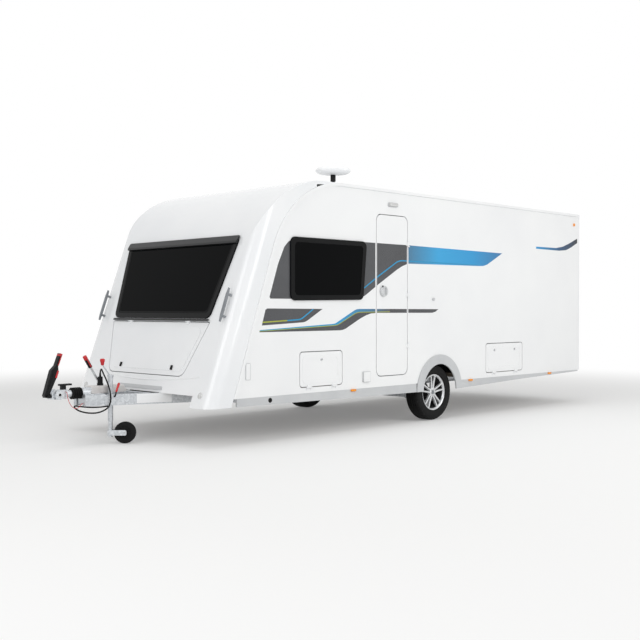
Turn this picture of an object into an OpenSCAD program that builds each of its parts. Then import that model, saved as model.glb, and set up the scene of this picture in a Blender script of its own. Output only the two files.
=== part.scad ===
// Touring caravan on a single axle: a hollow panelled body on a steel chassis,
// with a turning pair of road wheels, a jockey wheel, doors, lids and corner legs.
// Drawn with the axle at x = 0, then moved so that the whole thing is centred.

/* [Body] */
// width over the side walls
body_w = 2200; // [2000:10:2500]
// height of the roof over the ground
roof_z = 2510; // [2400:10:2650]
// how far the rear face lies behind the axle
tail_x = 3115; // [2900:5:3600]
// how far the foot of the nose lies ahead of the axle
nose_x = 3240; // [3200:5:3300]
// lean of the nose, in degrees
nose_rake = 20; // [18:1:22]
// radius of the turn from nose to roof
nose_r = 1000; // [900:10:1030]
// radius of the upright corners of the nose
corner_r = 120; // [80:5:150]
// thickness of walls, roof and nose
panel_t = 34; // [25:1:45]
// thickness of the floor
floor_t = 45; // [30:1:60]

/* [Door and hatches] */
// width of the entrance door
door_w = 501; // [460:1:520]
// height of the entrance door
door_h = 1692; // [1600:1:1720]
// slit left round doors and lids
slit = 8; // [6:0.5:12]

/* [Running gear] */
// outside radius of the road tyres
tyre_r = 312; // [300:1:320]
// width of the road tyres
tyre_w = 180; // [155:1:185]
// outside radius of the jockey wheel
jockey_r = 100; // [90:1:105]

/* [Hidden] */
$fn = 64;
over = 20;
half_w = body_w / 2;
in_w = half_w - panel_t;
wall_z = 430;
floor_z = 460;
floor_top = floor_z + floor_t;
skirt_z = 355;
seam_x = 2969;
seam_rake = 19;
seam_gap = 0.4;
split_x = 1900;
back_x = tail_x - panel_t;
reach = 8000;
// steps in each rounded corner of the nose
corner_n = 12;
// half width of the raised part of the nose's lower edge
nose_gap = 835;
// moves the drawing from the axle to the middle of the whole length
mid_x = 545;

// entrance door, seen from the left
door_x = 513;
door_z = 544;
door_r = 70;
door_t = 28;
lip_t = 26;
lip_over = 16;
lip_out = 30;

// hinges: axle, sleeve and leaves
pin_r = 4;
knuckle_r = 9;
hinge_gap = 0.5;
sleeve_l = 40;
knuckle_l = 14;
leaf_l = 28;
leaf_t = 6;
hinge_d = 9;
door_hinge_zs = [850, 1400, 1950];

// side hatches: start, end, foot, head, and the places of their two hinges
h_x0 = 0;
h_x1 = 1;
h_z0 = 2;
h_z1 = 3;
hatch_front = [1541, 2131, 491, 826];
hatch_rear = [-1731, -959, 491, 830];
hatch_right = [-2330, -1780, 491, 870];
hatch_r = 35;
hatch_shares = [0.2, 0.8];
hatch_rim = 35;
hatch_band = 27;
hatch_rise = 3;

// gas locker lid on the nose, measured up the slope
lid_top = 734;
lid_foot = 207;
lid_top_w = 780;
lid_foot_w = 600;
// corner radii of the lid, from its right foot round to its right head
lid_foot_r = 90;
lid_head_r = 14;
lid_r = [lid_foot_r, lid_foot_r, lid_head_r, lid_head_r];
lid_hinge_shares = [-0.6, 0.6];
lid_rim = 46;
lid_rise = 4;
lid_panel_r = 60;

// front window on the nose, measured up the slope
pane_t = 12;
pane_over = 28;
win_foot = 772;
win_top = 1600;
win_foot_w = 770;
win_top_w = 890;
win_r = 70;
// hood along the head of the front window, and the strip between window and lid
hood_low = 1518;
hood_t = 36;
hood_lip = 22;
hood_r = 14;
strip_lift = 1;
strip_h = 19;
strip_foot = 5;
strip_gap = 2;
strip_t = 3;
strip_low = lid_top + slit + strip_lift;
strip_top = strip_low + strip_h;
strip_out = hinge_d + knuckle_r + strip_gap;

// side windows: outline corners in x and z
left_window = [[1180, 1940], [1235, 1340], [2264, 1327], [2264, 1940]];
side_win_r = 60;
right_windows = [
    [[1180, 1940], [1235, 1340], [2264, 1327], [2264, 1940]],
    [[-420, 1900], [-420, 1340], [480, 1340], [480, 1900]],
    [[-2640, 1900], [-2640, 1380], [-1960, 1380], [-1960, 1900]]];
rear_win_w = 620;
rear_win_foot = 1300;
rear_win_top = 1860;

// wheel arch
arch_x = -30;
arch_r = 375;
arch_z = 312;
spat_x = -55;
spat_z = 330;
spat_r = 405;
spat_in_r = 300;
spat_t = 16;
box_t = 10;
box_x0 = -430;
box_x1 = 370;
box_top = 735;

// skirts along the foot of each wall
skirt_t = 20;
skirt_dip = 20;
skirt_mid_x = -1690;
skirt_mid_z = 377;
skirt_end_z = 412;
skirt_gap_front = 350;
skirt_gap_rear = -460;
lamp_xs = [1377, -640, -2362];
lamp_l = 70;
lamp_h = 22;
lamp_t = 14;
lamp_z = 407;
lamp_r = 8;

// rails that cover the seam of the nose and the edge of the roof
rail_h = 30;
rail_t = 10;

// furniture seen through the glass and the door
ply = 15;
locker_x = 2490;
shelf_z = 1160;
bench_x0 = 1180;
bench_d = 620;
bench_h = 400;
cushion_h = 120;
cushion_in = 20;
kitchen_x0 = -520;
kitchen_x1 = 780;
kitchen_d = 520;
kitchen_h = 900;
divider_x = -1180;
divider_y = 260;
box_gap = 10;

// chassis
rail_y = 530;
rail_w = 50;
rail_low = 360;
chassis_rear = -2950;
chassis_front = 2800;
arm_w = 44;
arm_y = 508;
arm_bend = 2750;
arm_back = 2250;
arm_nose_x = 3880;
arm_nose_y = 75;
arm_slope = (arm_y - arm_nose_y) / (arm_nose_x - arm_bend);
arm_half = arm_w / 2 * sqrt(1 + arm_slope * arm_slope);
cross_xs = [2180, 900, -1200, -2900];
cross_l = 60;
cross_low = 402;
hole_first = -2640;
hole_last = 2000;
hole_pitch = 300;
hole_r = 26;
hole_z = 410;
hole_room = 70;
// the arms are boxed in from here forwards
arm_box_x = 3230;
tie_x = 3280;
tie_l = 60;

// overrun gear and coupling, on the middle line
draw_z = 478;
draw_r = 25;
house_x0 = 3440;
house_x1 = 3870;
house_w = 96;
house_r = 48;
ear_x0 = 3700;
ear_t = 8;
cover_x0 = 3400;
cover_x1 = 3800;
cover_w = 124;
cover_low = 468;
cover_top = 536;
cover_r = 14;
cover_slope = 44;
bell_n = 5;
bell_x1 = 3975;
bell_in_r = 27;
bell_low_r = 40;
bell_r = 54;
head_x0 = 3975;
head_x1 = 4190;
neck_l = 70;
neck_r = 32;
head_w = 90;
head_low = 438;
head_top = 520;
head_front_top = 494;
head_cut = 12;
head_fall = 40;
head_r = 6;
ball_x = 4140;
ball_r = 25;
ball_h = 46;
pad_r = 46;
pad_t = 22;
// stabiliser lever: foot, tip, half widths, and where along it the body swells and ends
lever_x = 4230;
lever_z = 462;
lever_tip_x = 4080;
lever_tip_z = 842;
lever_t = 46;
lever_foot_w = 20;
lever_body_w = 38;
lever_hand_w = 13;
lever_swell_share = 0.58;
lever_neck_share = 0.72;
lever_yoke = 50;
lever_yoke_l = 36;
lever_yoke_h = 24;
grip_x = 4030;
grip_z = 520;
grip_h = 50;
grip_l = 120;
grip_w = 40;
grip_t = 16;
brake_x = 3640;
brake_y = -45;
brake_z = 536;
brake_l = 300;
brake_lean = 32;
brake_r = 11;
brake_grip_r = 17;
brake_grip_l = 120;
plug_x = 3660;
plug_r = 24;
plug_h = 80;
holder_h = 20;
rod_r = 6;
rod_z = 388;
rod_x0 = 220;

// axle, arms and hubs, set in from the outer side of the tyre
tyre_set = 24;
tyre_out = half_w - tyre_set;
swing_in = 276;
swing_y = tyre_out - swing_in;
hub_in = 76;
hub_y1 = tyre_out - hub_in;
drum_in = 214;
drum_l = 43;
drum_y0 = tyre_out - drum_in;
drum_y1 = drum_y0 + drum_l;
face_in = 46;
face_y = tyre_out - face_in;
box_deep = 226;
box_in = tyre_out - box_deep;
axle_x = 160;
axle_z = 300;
axle_r = 50;
seat_l = 120;
arm_t = 40;
swing_r = 55;
swing_eye_r = 44;
yoke_w = 30;
hub_r = 22;
drum_r = 115;
rim_r = 200;
rim_lip = 12;
rim_t = 8;
face_t = 26;
spoke_n = 5;
spoke_w = 34;
spoke_gap = 16;
bore_r = 22.5;
boss_r = 62;
tyre_shoulder = 26;
tyre_side = 14;

// jockey wheel
jock_y = 100.37;
jock_off = 53;
// where along the slanting arm the tube has that room beside it
jock_x = arm_bend + (arm_y - jock_y - jock_off - arm_half) / arm_slope;
jock_turn = 135;
jock_trail = 135;
jock_out_r = 24;
jock_bore_r = 20;
jock_in_r = 19.5;
jock_low = 210;
jock_high = 620;
jock_stem_low = 60;
jock_stem_top = 285;
jock_tyre_w = 44;
jock_dish_r = 62;
jock_boss_r = 20;
jock_dish = 9;
fork_gap = 28;
fork_t = 6;
fork_h = 50;
fork_back = 18;
fork_block = 44;
jock_pin_r = 8;
jock_pin_gap = 0.5;
clamp_low = 372;
clamp_h = 70;
clamp_w = 30;
clamp_gap = 0.5;
crank_r = 6;
crank_h = 115;
crank_l = 86;
knob_r = 20;
knob_neck_r = 13;
knob_h = 55;
cap_h = 16;

// corner legs, folded: pivot, outward sign, side
leg_x = 2300;
leg_rear_x = 2420;
leg_y = 800;
leg_z = 392;
leg_l = 400;
leg_w = 44;
leg_h = 34;
leg_pin_r = 8;
leg_pin_gap = 0.5;
leg_eye_r = 22;
leg_wall = 4;
leg_open = 40;
foot_l = 90;
foot_w = 110;
foot_h = 14;
ear_gap = 6;
ear_w = 8;

// aerial on the roof
aerial_x = 1150;
aerial_y = 600;
mast_r = 18;
mast_z = 2676;
mast_foot_r = 60;
mast_foot_h = 14;
mast_collar_r = 28;
mast_collar_z = 2610;
dish_gap = 2;
dish_turn = 135;
dish_r = 190;
dish_d = 250;
dish_h = 90;
dish_edge = 26;
dish_socket = 40;
dish_pin_r = 12;
dish_bore_r = 12.5;

// rooflights: middle x, middle y, length, width
r_x = 0;
r_y = 1;
r_l = 2;
r_w = 3;
rooflights_at = [[200, 0, 700, 500], [-2150, -320, 400, 400]];
rooflight_h = 55;
rooflight_rim = 30;
rooflight_rim_h = 18;
rooflight_lip = 25;
rooflight_r = 50;
crown_r = 1700;

// small fittings
handle_y = 985;
handle_low = 790;
handle_high = 1000;
handle_r = 11;
handle_out = 48;
handle_foot = 20;
handle_tip = 60;
fair_x1 = 3440;
fair_low = 372;
fair_top = 458;
fair_t = 6;
fair_back = 3130;
fair_in = arm_half + seam_gap;
bar_y = 355;
bar_z0 = 58;
bar_z1 = 92;
bar_t = 8;
rear_lamp_y = 930;
rear_lamp_w = 150;
rear_lamp_z0 = 620;
rear_lamp_z1 = 960;
rear_lamp_t = 28;
bumper_h = 150;
bumper_t = 24;
rear_grip_y = 760;
rear_grip_z = 1150;
rear_grip_l = 260;
vent_x0 = -1060;
vent_x1 = -600;
vent_h = 230;
vent_zs = [620, 1250];
vent_t = 12;
vent_n = 7;
vent_slot = 14;
socket_x = 1179;
socket_z = 546;
socket_s = 110;
socket_t = 18;
small_r = 12;
plate_x = 2798;
plate_z = 594;
plate_l = 58;
plate_h = 155;
stay_x = 61;
stay_z = 1355;
stay_r = 16;
stay_l = 18;
awn_x = 760;
awn_z = 2330;
awn_l = 150;
awn_h = 44;
awn_t = 16;
pull_x = 907;
pull_z = 1433;
pull_r = 57;
pull_t = 18;
pull_dip = 10;
pull_slot_l = 34;
pull_slot_h = 74;
pull_slot_x = 14;
knob_lock_r = 14;
knob_lock_t = 10;
latch_y = 416;
latch_z = 52;
latch_w = 22;
latch_h = 44;
latch_t = 12;

// tow cable: its route, and its size
cable_r = 7;
cable_sides = 10;
cable_steps = 3;
// a direction the cable never takes, from which its rings are turned
cable_ref = [0.2, 0.9, 0.1];
cable_route = [
    [3660, 0, 616.3], [3660, 0, 628], [3661, 2.6, 647.5], [3665.2, 13, 666.6], [3671.1, 27.9, 680],
    [3678.4, 46.1, 687.1], [3686.1, 65.4, 687.1], [3693.4, 84, 680], [3699.5, 106, 664], [3702, 132, 637],
    [3698.5, 158, 600], [3692, 180, 554], [3685, 196, 506], [3680, 204, 455], [3684, 208, 400], [3706, 205, 350],
    [3750, 190, 318], [3810, 160, 300], [3880, 115, 304], [3930, 65, 324], [3940, 15, 348],
    [3910, -25, 358], [3840, -45, 346], [3740, -50, 332], [3620, -50, 326], [3500, -50, 336],
    [3410, -50, 364], [3362, -50, 376], [3340.3, -50, 376]];

// thin breakaway cable from the coupling head to the overrun housing
wire_r = 2.5;
wire_sides = 8;
wire_route = [
    [4050, 45.3, 500], [4050, 56, 500], [4048, 66, 484], [4042, 68, 450], [4035.4, 67.2, 427.9],
    [4026, 66, 405], [4013.1, 65, 383.4], [3998, 64, 365], [3981.9, 62.8, 352.8], [3965, 62, 346],
    [3946.8, 62.2, 345.6], [3930, 63, 350], [3908, 65, 370], [3894, 66, 384], [3880.3, 66, 384]];

// outline helpers: a corner of a polygon turned into an arc
function unit(v) = v / norm(v);
function corner_pts(a, p, b, r, n) =
    let (u = unit(a - p), v = unit(b - p), h = acos(u * v) / 2,
        m = p + unit(u + v) * (r / sin(h)),
        s = p + u * (r / tan(h)) - m, e = p + v * (r / tan(h)) - m,
        s_a = atan2(s[1], s[0]), d = atan2(e[1], e[0]) - s_a,
        turn = d > 180 ? d - 360 : (d < -180 ? d + 360 : d))
    [for (i = [0 : n]) m + r * [cos(s_a + turn * i / n), sin(s_a + turn * i / n)]];
// all corners with one radius, or each with its own from a list
function rounded(pts, r, n = 8) =
    [for (k = [0 : len(pts) - 1]) each corner_pts(pts[(k + len(pts) - 1) % len(pts)], pts[k],
        pts[(k + 1) % len(pts)], is_list(r) ? r[k] : r, n)];
function wider(r, d) = is_list(r) ? [for (x = r) x + d] : r + d;
function rect(x0, z0, x1, z1) = [[x0, z0], [x1, z0], [x1, z1], [x0, z1]];
function trapeze(low_w, low, high_w, high) =
    [[-low_w, low], [low_w, low], [high_w, high], [-high_w, high]];
// the same outline moved outwards all round
function grown(pts, d) =
    [for (k = [0 : len(pts) - 1])
        let (a = pts[(k + len(pts) - 1) % len(pts)], p = pts[k], b = pts[(k + 1) % len(pts)],
            u = unit(a - p), v = unit(b - p), h = acos(u * v) / 2)
        p - unit(u + v) * (d / sin(h))];

// swept tube helpers: a smooth path through the route, and rings round it
function spline(a, b, c, d, t) =
    (2 * b + (c - a) * t + (2 * a - 5 * b + 4 * c - d) * t * t
        + (3 * b - a - 3 * c + d) * t * t * t) / 2;
function smooth(p, n) =
    let (m = len(p) - 1)
    [for (k = [0 : m - 1]) each [for (i = [0 : n - 1])
        spline(p[max(k - 1, 0)], p[k], p[k + 1], p[min(k + 2, m)], i / n)], p[m]];
module tube_along(route, r, sides, steps) {
    path = smooth(route, steps);
    m = len(path) - 1;
    fin = len(route) - 1;
    dirs = [for (k = [0 : m]) k == 0 ? unit(route[1] - route[0])
        : k == m ? unit(route[fin] - route[fin - 1])
        : unit(path[k + 1] - path[k - 1])];
    ups = [for (k = [0 : m]) let (side = cross(dirs[k], cable_ref)) unit(side)];
    pts = [for (k = [0 : m]) each [for (j = [0 : sides - 1])
        let (w = cross(dirs[k], ups[k]), a = 360 * j / sides)
        path[k] + r * (cos(a) * ups[k] + sin(a) * w)]];
    sides_f = [for (k = [0 : m - 1]) each [for (j = [0 : sides - 1])
        let (j1 = (j + 1) % sides)
        [k * sides + j, (k + 1) * sides + j, (k + 1) * sides + j1, k * sides + j1]]];
    first = [[for (j = [0 : sides - 1]) j]];
    last = [[for (j = [0 : sides - 1]) m * sides + sides - 1 - j]];
    polyhedron(points = pts, faces = concat(sides_f, first, last));
}

// placing helpers
module centred() translate([-mid_x, 0, 0]) children();
module along_y(w) translate([0, w / 2, 0]) rotate([90, 0, 0]) linear_extrude(height = w) children();
// an outline in x and z made into a slab from y0 to y1
module slab(y0, y1) translate([0, y1, 0]) rotate([90, 0, 0]) linear_extrude(height = y1 - y0) children();
module on_nose() translate([nose_x, 0, wall_z]) rotate([0, -nose_rake, 0]) children();
// an outline in y and slope height made into a slab on the nose, from depth d0 to d1
module nose_slab(d0, d1)
    on_nose() translate([d0, 0, 0]) rotate([90, 0, 90]) linear_extrude(height = d1 - d0) children();
module rear_slab(d0, d1)
    translate([-tail_x - d1, 0, 0]) rotate([90, 0, 90]) linear_extrude(height = d1 - d0) children();
module both_sides() {
    children();
    mirror([0, 1, 0]) children();
}
module block(x0, x1, y0, y1, z0, z1) translate([x0, y0, z0]) cube([x1 - x0, y1 - y0, z1 - z0]);
module rod_x(x0, x1, y, z, r) translate([x0, y, z]) rotate([0, 90, 0]) cylinder(r = r, h = x1 - x0);
module rod_y(x, y0, y1, z, r) translate([x, y1, z]) rotate([90, 0, 0]) cylinder(r = r, h = y1 - y0);

// side outline of the body: straight foot, leaning nose, round turn into the roof
module side_shape(foot, rake, inset, low, tail) {
    r = nose_r - inset;
    cz = roof_z - nose_r;
    cx = foot - (cz - wall_z) * tan(rake) - nose_r / cos(rake);
    sx = cx + r * cos(rake);
    sz = cz + r * sin(rake);
    bx = sx + (sz - low) * tan(rake);
    polygon([[-tail, low], [bx, low], [sx, sz], [cx, cz + r], [-tail, cz + r]]);
    translate([cx, cz]) circle(r = r, $fn = 128);
}
module wall_shape(low) intersection() {
    side_shape(seam_x, seam_rake, 0, low, back_x);
    side_shape(nose_x, nose_rake, panel_t + seam_gap, low, back_x);
}
module plan_shape(inset) {
    r = corner_r - inset;
    w = half_w - inset;
    back = -reach / 4;
    a = [back, -w];
    b = [-inset, -w];
    c = [-inset, w];
    d = [back, w];
    polygon(concat([a], corner_pts(a, b, c, r, corner_n), corner_pts(b, c, d, r, corner_n), [d]));
}
module nose_body(inset, low) intersection() {
    along_y(body_w - 2 * inset) side_shape(nose_x, nose_rake, inset, low, 0);
    on_nose() translate([0, 0, -reach / 8]) linear_extrude(height = reach / 2) plan_shape(inset);
}

// hinge with its pin along z: leaf lies on the face y = 0, the fixed side towards -x
module hinge_fixed() {
    translate([0, hinge_d, -sleeve_l / 2 - knuckle_l]) cylinder(r = pin_r, h = sleeve_l + 2 * knuckle_l);
    for (s = [-1, 1]) {
        translate([0, hinge_d, s * (sleeve_l + knuckle_l + 2 * hinge_gap) / 2])
            cylinder(r = knuckle_r, h = knuckle_l, center = true);
        translate([-leaf_l, 0, s * (sleeve_l + knuckle_l + 2 * hinge_gap) / 2 - knuckle_l / 2])
            cube([leaf_l, leaf_t, knuckle_l]);
    }
}
module hinge_moving() difference() {
    union() {
        translate([0, hinge_d, 0]) cylinder(r = knuckle_r, h = sleeve_l, center = true);
        translate([0, 0, -sleeve_l / 2]) cube([leaf_l, leaf_t, sleeve_l]);
    }
    translate([0, hinge_d, 0]) cylinder(r = pin_r + hinge_gap, h = sleeve_l + over, center = true);
}
module door_hinge_spots() for (z = door_hinge_zs)
    translate([door_x - slit, half_w, z]) children();
// a hatch's hinges lie along its foot
module hatch_hinge_spots(h, side)
    for (s = hatch_shares)
        translate([h[h_x0] + (h[h_x1] - h[h_x0]) * s, side * half_w, h[h_z0] - slit])
            mirror([0, side < 0 ? 1 : 0, 0]) rotate([0, -90, 0]) children();
module lid_hinge_spots()
    on_nose() for (s = lid_hinge_shares)
        translate([0, lid_top_w * s, lid_top + slit]) rotate([0, 90, -90]) children();

// panels
module wall(side) mirror([0, side < 0 ? 1 : 0, 0]) difference() {
    slab(in_w, half_w) wall_shape(wall_z);
    slab(in_w - over, half_w + over) translate([arch_x, arch_z]) circle(r = arch_r);
    children();
}
module wall_cut(pts) slab(in_w - over, half_w + over) polygon(pts);
module wall_left() color("white") wall(1) {
    union() {
        wall_cut(rounded(grown(rect(door_x, door_z, door_x + door_w, door_z + door_h), slit), door_r));
        wall_cut(rounded(grown(left_window, -pane_over), side_win_r));
        for (h = [hatch_front, hatch_rear])
            wall_cut(rounded(grown(rect(h[h_x0], h[h_z0], h[h_x1], h[h_z1]), slit), hatch_r));
    }
}
module wall_right() color("white") wall(-1) {
    union() {
        for (w = right_windows)
            wall_cut(rounded(grown(w, -pane_over), side_win_r));
        wall_cut(rounded(grown(rect(hatch_right[h_x0], hatch_right[h_z0], hatch_right[h_x1],
            hatch_right[h_z1]), slit), hatch_r));
    }
}
module roof_panel() color("white") difference() {
    intersection() {
        along_y(body_w) side_shape(nose_x, nose_rake, 0, wall_z, tail_x);
        block(-reach, split_x, -reach, reach, 0, reach);
    }
    along_y(body_w + over) side_shape(nose_x, nose_rake, panel_t, 0, tail_x + over);
    for (r = rooflights_at)
        translate([r[r_x], r[r_y], roof_z])
            cube([r[r_l] - 2 * rooflight_rim, r[r_w] - 2 * rooflight_rim, reach / 10], center = true);
}
module front_panel() color("white") difference() {
    nose_body(0, skirt_z);
    nose_body(panel_t, skirt_z - over);
    along_y(body_w + over) side_shape(seam_x, seam_rake, -seam_gap, skirt_z - over, back_x);
    block(-reach, split_x, -reach, reach, -over, reach);
    // window and locker openings
    nose_slab(-panel_t * 2, over) polygon(rounded(grown(trapeze(win_foot_w, win_foot, win_top_w, win_top),
        -pane_over), win_r));
    nose_slab(-panel_t * 2, over) polygon(rounded(grown(trapeze(lid_foot_w, lid_foot, lid_top_w, lid_top),
        slit), lid_r));
    // raised middle of the lower edge, over the drawbar
    block(split_x, reach, -nose_gap, nose_gap, 0, floor_z);
}
module rear_panel() color("white") difference() {
    block(-tail_x, -back_x, -half_w, half_w, wall_z, roof_z - panel_t);
    rear_slab(-panel_t - over, over) polygon(rounded(grown(trapeze(rear_win_w, rear_win_foot, rear_win_w,
        rear_win_top), -pane_over), side_win_r));
}
module floor_panel() color("tan") difference() {
    intersection() {
        block(-back_x, reach, -in_w, in_w, floor_z, floor_top);
        union() {
            nose_body(panel_t, 0);
            block(-reach, split_x + over, -reach, reach, 0, reach);
        }
    }
    both_sides() block(box_x0 + box_t, box_x1 - box_t, box_in + box_t, half_w, 0, reach);
}
module roof_rails() color("white") both_sides() slab(half_w, half_w + rail_t) difference() {
    side_shape(seam_x, seam_rake, 0, wall_z, back_x);
    side_shape(seam_x, seam_rake, rail_h, wall_z - over, tail_x);
}
module wheel_boxes() color("gray") both_sides() difference() {
    block(box_x0, box_x1, box_in, in_w, floor_top, box_top);
    block(box_x0 + box_t, box_x1 - box_t, box_in + box_t, half_w, 0, box_top - box_t);
}
module skirts() both_sides() {
    slab(half_w - skirt_t, half_w) polygon([[skirt_gap_front, wall_z],
        [skirt_gap_front, skirt_z - skirt_dip], [seam_x - over * 2, skirt_z], [seam_x - over * 2, wall_z]]);
    slab(half_w - skirt_t, half_w) polygon([[skirt_gap_rear, wall_z], [skirt_gap_rear, skirt_z - skirt_dip],
        [skirt_mid_x, skirt_mid_z], [-back_x, skirt_end_z], [-back_x, wall_z]]);
}
module lower_trim() color("lightgray") {
    skirts();
    rear_bumper();
}
module arch_trims() color("lightgray") both_sides() difference() {
    intersection() {
        slab(half_w, half_w + spat_t) translate([spat_x, spat_z]) circle(r = spat_r);
        block(-reach, reach, 0, reach, skirt_z - skirt_dip, reach);
    }
    slab(0, reach) translate([spat_x, spat_z]) circle(r = spat_in_r);
}
module marker_lamps() color("orange") both_sides() for (x = lamp_xs)
    slab(half_w, half_w + lamp_t)
        polygon(rounded(rect(x - lamp_l / 2, lamp_z, x + lamp_l / 2, lamp_z + lamp_h), lamp_r));

// glazing
module window_front() nose_slab(0, pane_t)
    polygon(rounded(trapeze(win_foot_w, win_foot, win_top_w, win_top), win_r));
module window_left() slab(half_w, half_w + pane_t) polygon(rounded(left_window, side_win_r));
module windows_right() mirror([0, 1, 0]) for (w = right_windows)
    slab(half_w, half_w + pane_t) polygon(rounded(w, side_win_r));
module window_rear() rear_slab(0, pane_t)
    polygon(rounded(trapeze(rear_win_w, rear_win_foot, rear_win_w, rear_win_top), side_win_r));
module windows() color("dimgray") {
    window_front();
    window_left();
    windows_right();
    window_rear();
}
module window_trim() color("black") {
    on_nose() intersection() {
        along_y(reach) polygon([[pane_t, hood_low], [hood_t, hood_low], [hood_t, hood_low + hood_lip],
            [pane_t + leaf_t, win_top], [pane_t, win_top]]);
        rotate([90, 0, 90]) linear_extrude(height = hood_t)
            polygon(rounded(trapeze(win_foot_w, win_foot, win_top_w, win_top), hood_r));
    }
    // angle strip that covers the lid's hinges
    difference() {
        union() {
            nose_slab(strip_out, strip_out + strip_t)
                polygon(trapeze(win_foot_w, strip_low, win_foot_w, strip_top));
            nose_slab(0, strip_out + strip_t)
                polygon(trapeze(win_foot_w, strip_top - strip_foot, win_foot_w, strip_top));
        }
        // room for the fixed leaves of the lid's hinges
        nose_slab(-over, leaf_t + seam_gap) for (s = lid_hinge_shares)
            translate([lid_top_w * s - sleeve_l, lid_top]) square([2 * sleeve_l, over * 3]);
    }
}
// crowned pane on a flat rim
module rooflights() color("gray") for (r = rooflights_at) translate([r[r_x], r[r_y], roof_z]) {
    rim = rect(-r[r_l] / 2, -r[r_w] / 2, r[r_l] / 2, r[r_w] / 2);
    linear_extrude(height = rooflight_rim_h) polygon(rounded(rim, rooflight_r));
    intersection() {
        linear_extrude(height = rooflight_h) polygon(rounded(grown(rim, -rooflight_lip), rooflight_r));
        rod_x(-reach / 8, reach / 8, 0, rooflight_h - crown_r, crown_r, $fn = 360);
        rod_y(0, -reach / 8, reach / 8, rooflight_h - crown_r, crown_r, $fn = 360);
    }
}

// inside
module locker_box() color("tan") intersection() {
    union() {
        block(locker_x, locker_x + ply, -in_w, in_w, floor_top, shelf_z);
        block(locker_x, reach, -in_w, in_w, shelf_z, shelf_z + ply);
    }
    union() {
        nose_body(panel_t, 0);
        block(-reach, split_x, -reach, reach, 0, reach);
    }
}
module benches() both_sides() {
    block(bench_x0, locker_x, in_w - bench_d, in_w - bench_d + ply, floor_top, floor_top + bench_h);
    block(bench_x0, locker_x, in_w - bench_d, in_w, floor_top + bench_h, floor_top + bench_h + ply);
}
module cushions() color("slategray") both_sides()
    block(bench_x0 + cushion_in, locker_x - cushion_in, in_w - bench_d + cushion_in, in_w - cushion_in,
        floor_top + bench_h + ply, floor_top + bench_h + ply + cushion_h);
module kitchen_unit() difference() {
    block(kitchen_x0, kitchen_x1, -in_w, kitchen_d - in_w, floor_top, floor_top + kitchen_h);
    block(kitchen_x0 + ply, kitchen_x1 - ply, -in_w - over, kitchen_d - in_w - ply, floor_top - over,
        floor_top + kitchen_h - ply);
    block(box_x0 - box_gap, box_x1 + box_gap, -half_w, -box_in + box_gap, 0, box_top + box_gap);
}
module divider() block(divider_x, divider_x + ply, -in_w, divider_y, floor_top, roof_z - panel_t);

module furniture() color("peru") {
    benches();
    kitchen_unit();
    divider();
}

// frames behind doors and lids, which also stop them
module lip_ring(pts, r) difference() {
    polygon(rounded(grown(pts, slit + lip_out), wider(r, lip_out)));
    polygon(rounded(grown(pts, -lip_over), r));
}
module door_frame() slab(in_w - lip_t, in_w)
    lip_ring(rect(door_x, door_z, door_x + door_w, door_z + door_h), door_r);
module hatch_frames() {
    for (h = [hatch_front, hatch_rear])
        slab(in_w - lip_t / 2, in_w) intersection() {
            lip_ring(rect(h[h_x0], h[h_z0], h[h_x1], h[h_z1]), hatch_r);
            translate([-reach, floor_top]) square([2 * reach, reach]);
        }
    mirror([0, 1, 0]) slab(in_w - lip_t / 2, in_w) intersection() {
        lip_ring(rect(hatch_right[h_x0], hatch_right[h_z0], hatch_right[h_x1], hatch_right[h_z1]), hatch_r);
        translate([-reach, floor_top]) square([2 * reach, reach]);
    }
}
module locker_frame() nose_slab(-panel_t - lip_t / 2, -panel_t)
    lip_ring(trapeze(lid_foot_w, lid_foot, lid_top_w, lid_top), lid_r);
module opening_frames() color("gray") {
    door_frame();
    hatch_frames();
    locker_frame();
}
module fixed_hinges() color("white") {
    door_hinge_spots() hinge_fixed();
    for (h = [hatch_front, hatch_rear])
        hatch_hinge_spots(h, 1) hinge_fixed();
    hatch_hinge_spots(hatch_right, -1) hinge_fixed();
    lid_hinge_spots() hinge_fixed();
}

// doors and lids
module door() color("white") {
    slab(half_w - door_t, half_w)
        polygon(rounded(rect(door_x, door_z, door_x + door_w, door_z + door_h), door_r));
    door_hinge_spots() hinge_moving();
}
module door_handle() color("lightgray") difference() {
    rod_y(pull_x, half_w, half_w + pull_t, pull_z, pull_r);
    block(pull_x - pull_slot_x - pull_slot_l / 2, pull_x - pull_slot_x + pull_slot_l / 2,
        half_w + pull_t - pull_dip, half_w + pull_t + over, pull_z - pull_slot_h / 2,
        pull_z + pull_slot_h / 2);
}
module hatch_lid(h, side) {
    outline = rect(h[h_x0], h[h_z0], h[h_x1], h[h_z1]);
    mirror([0, side < 0 ? 1 : 0, 0]) {
        slab(half_w - door_t, half_w) polygon(rounded(outline, hatch_r));
        // raised moulding
        slab(half_w - door_t, half_w + hatch_rise) difference() {
            polygon(rounded(grown(outline, -hatch_rim), hatch_r));
            polygon(rounded(grown(outline, -hatch_rim - hatch_band), hatch_r));
        }
    }
    hatch_hinge_spots(h, side) hinge_moving();
}
module hatch_front_left() color("white") hatch_lid(hatch_front, 1);
module hatch_rear_left() color("white") hatch_lid(hatch_rear, 1);
module hatch_rear_right() color("white") hatch_lid(hatch_right, -1);
module gas_lid() color("white") {
    nose_slab(-door_t, 0) polygon(rounded(trapeze(lid_foot_w, lid_foot, lid_top_w, lid_top), lid_r));
    // raised middle
    nose_slab(-door_t, lid_rise) polygon(rounded(grown(trapeze(lid_foot_w, lid_foot, lid_top_w, lid_top),
        -lid_rim), lid_panel_r));
    lid_hinge_spots() hinge_moving();
}

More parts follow.
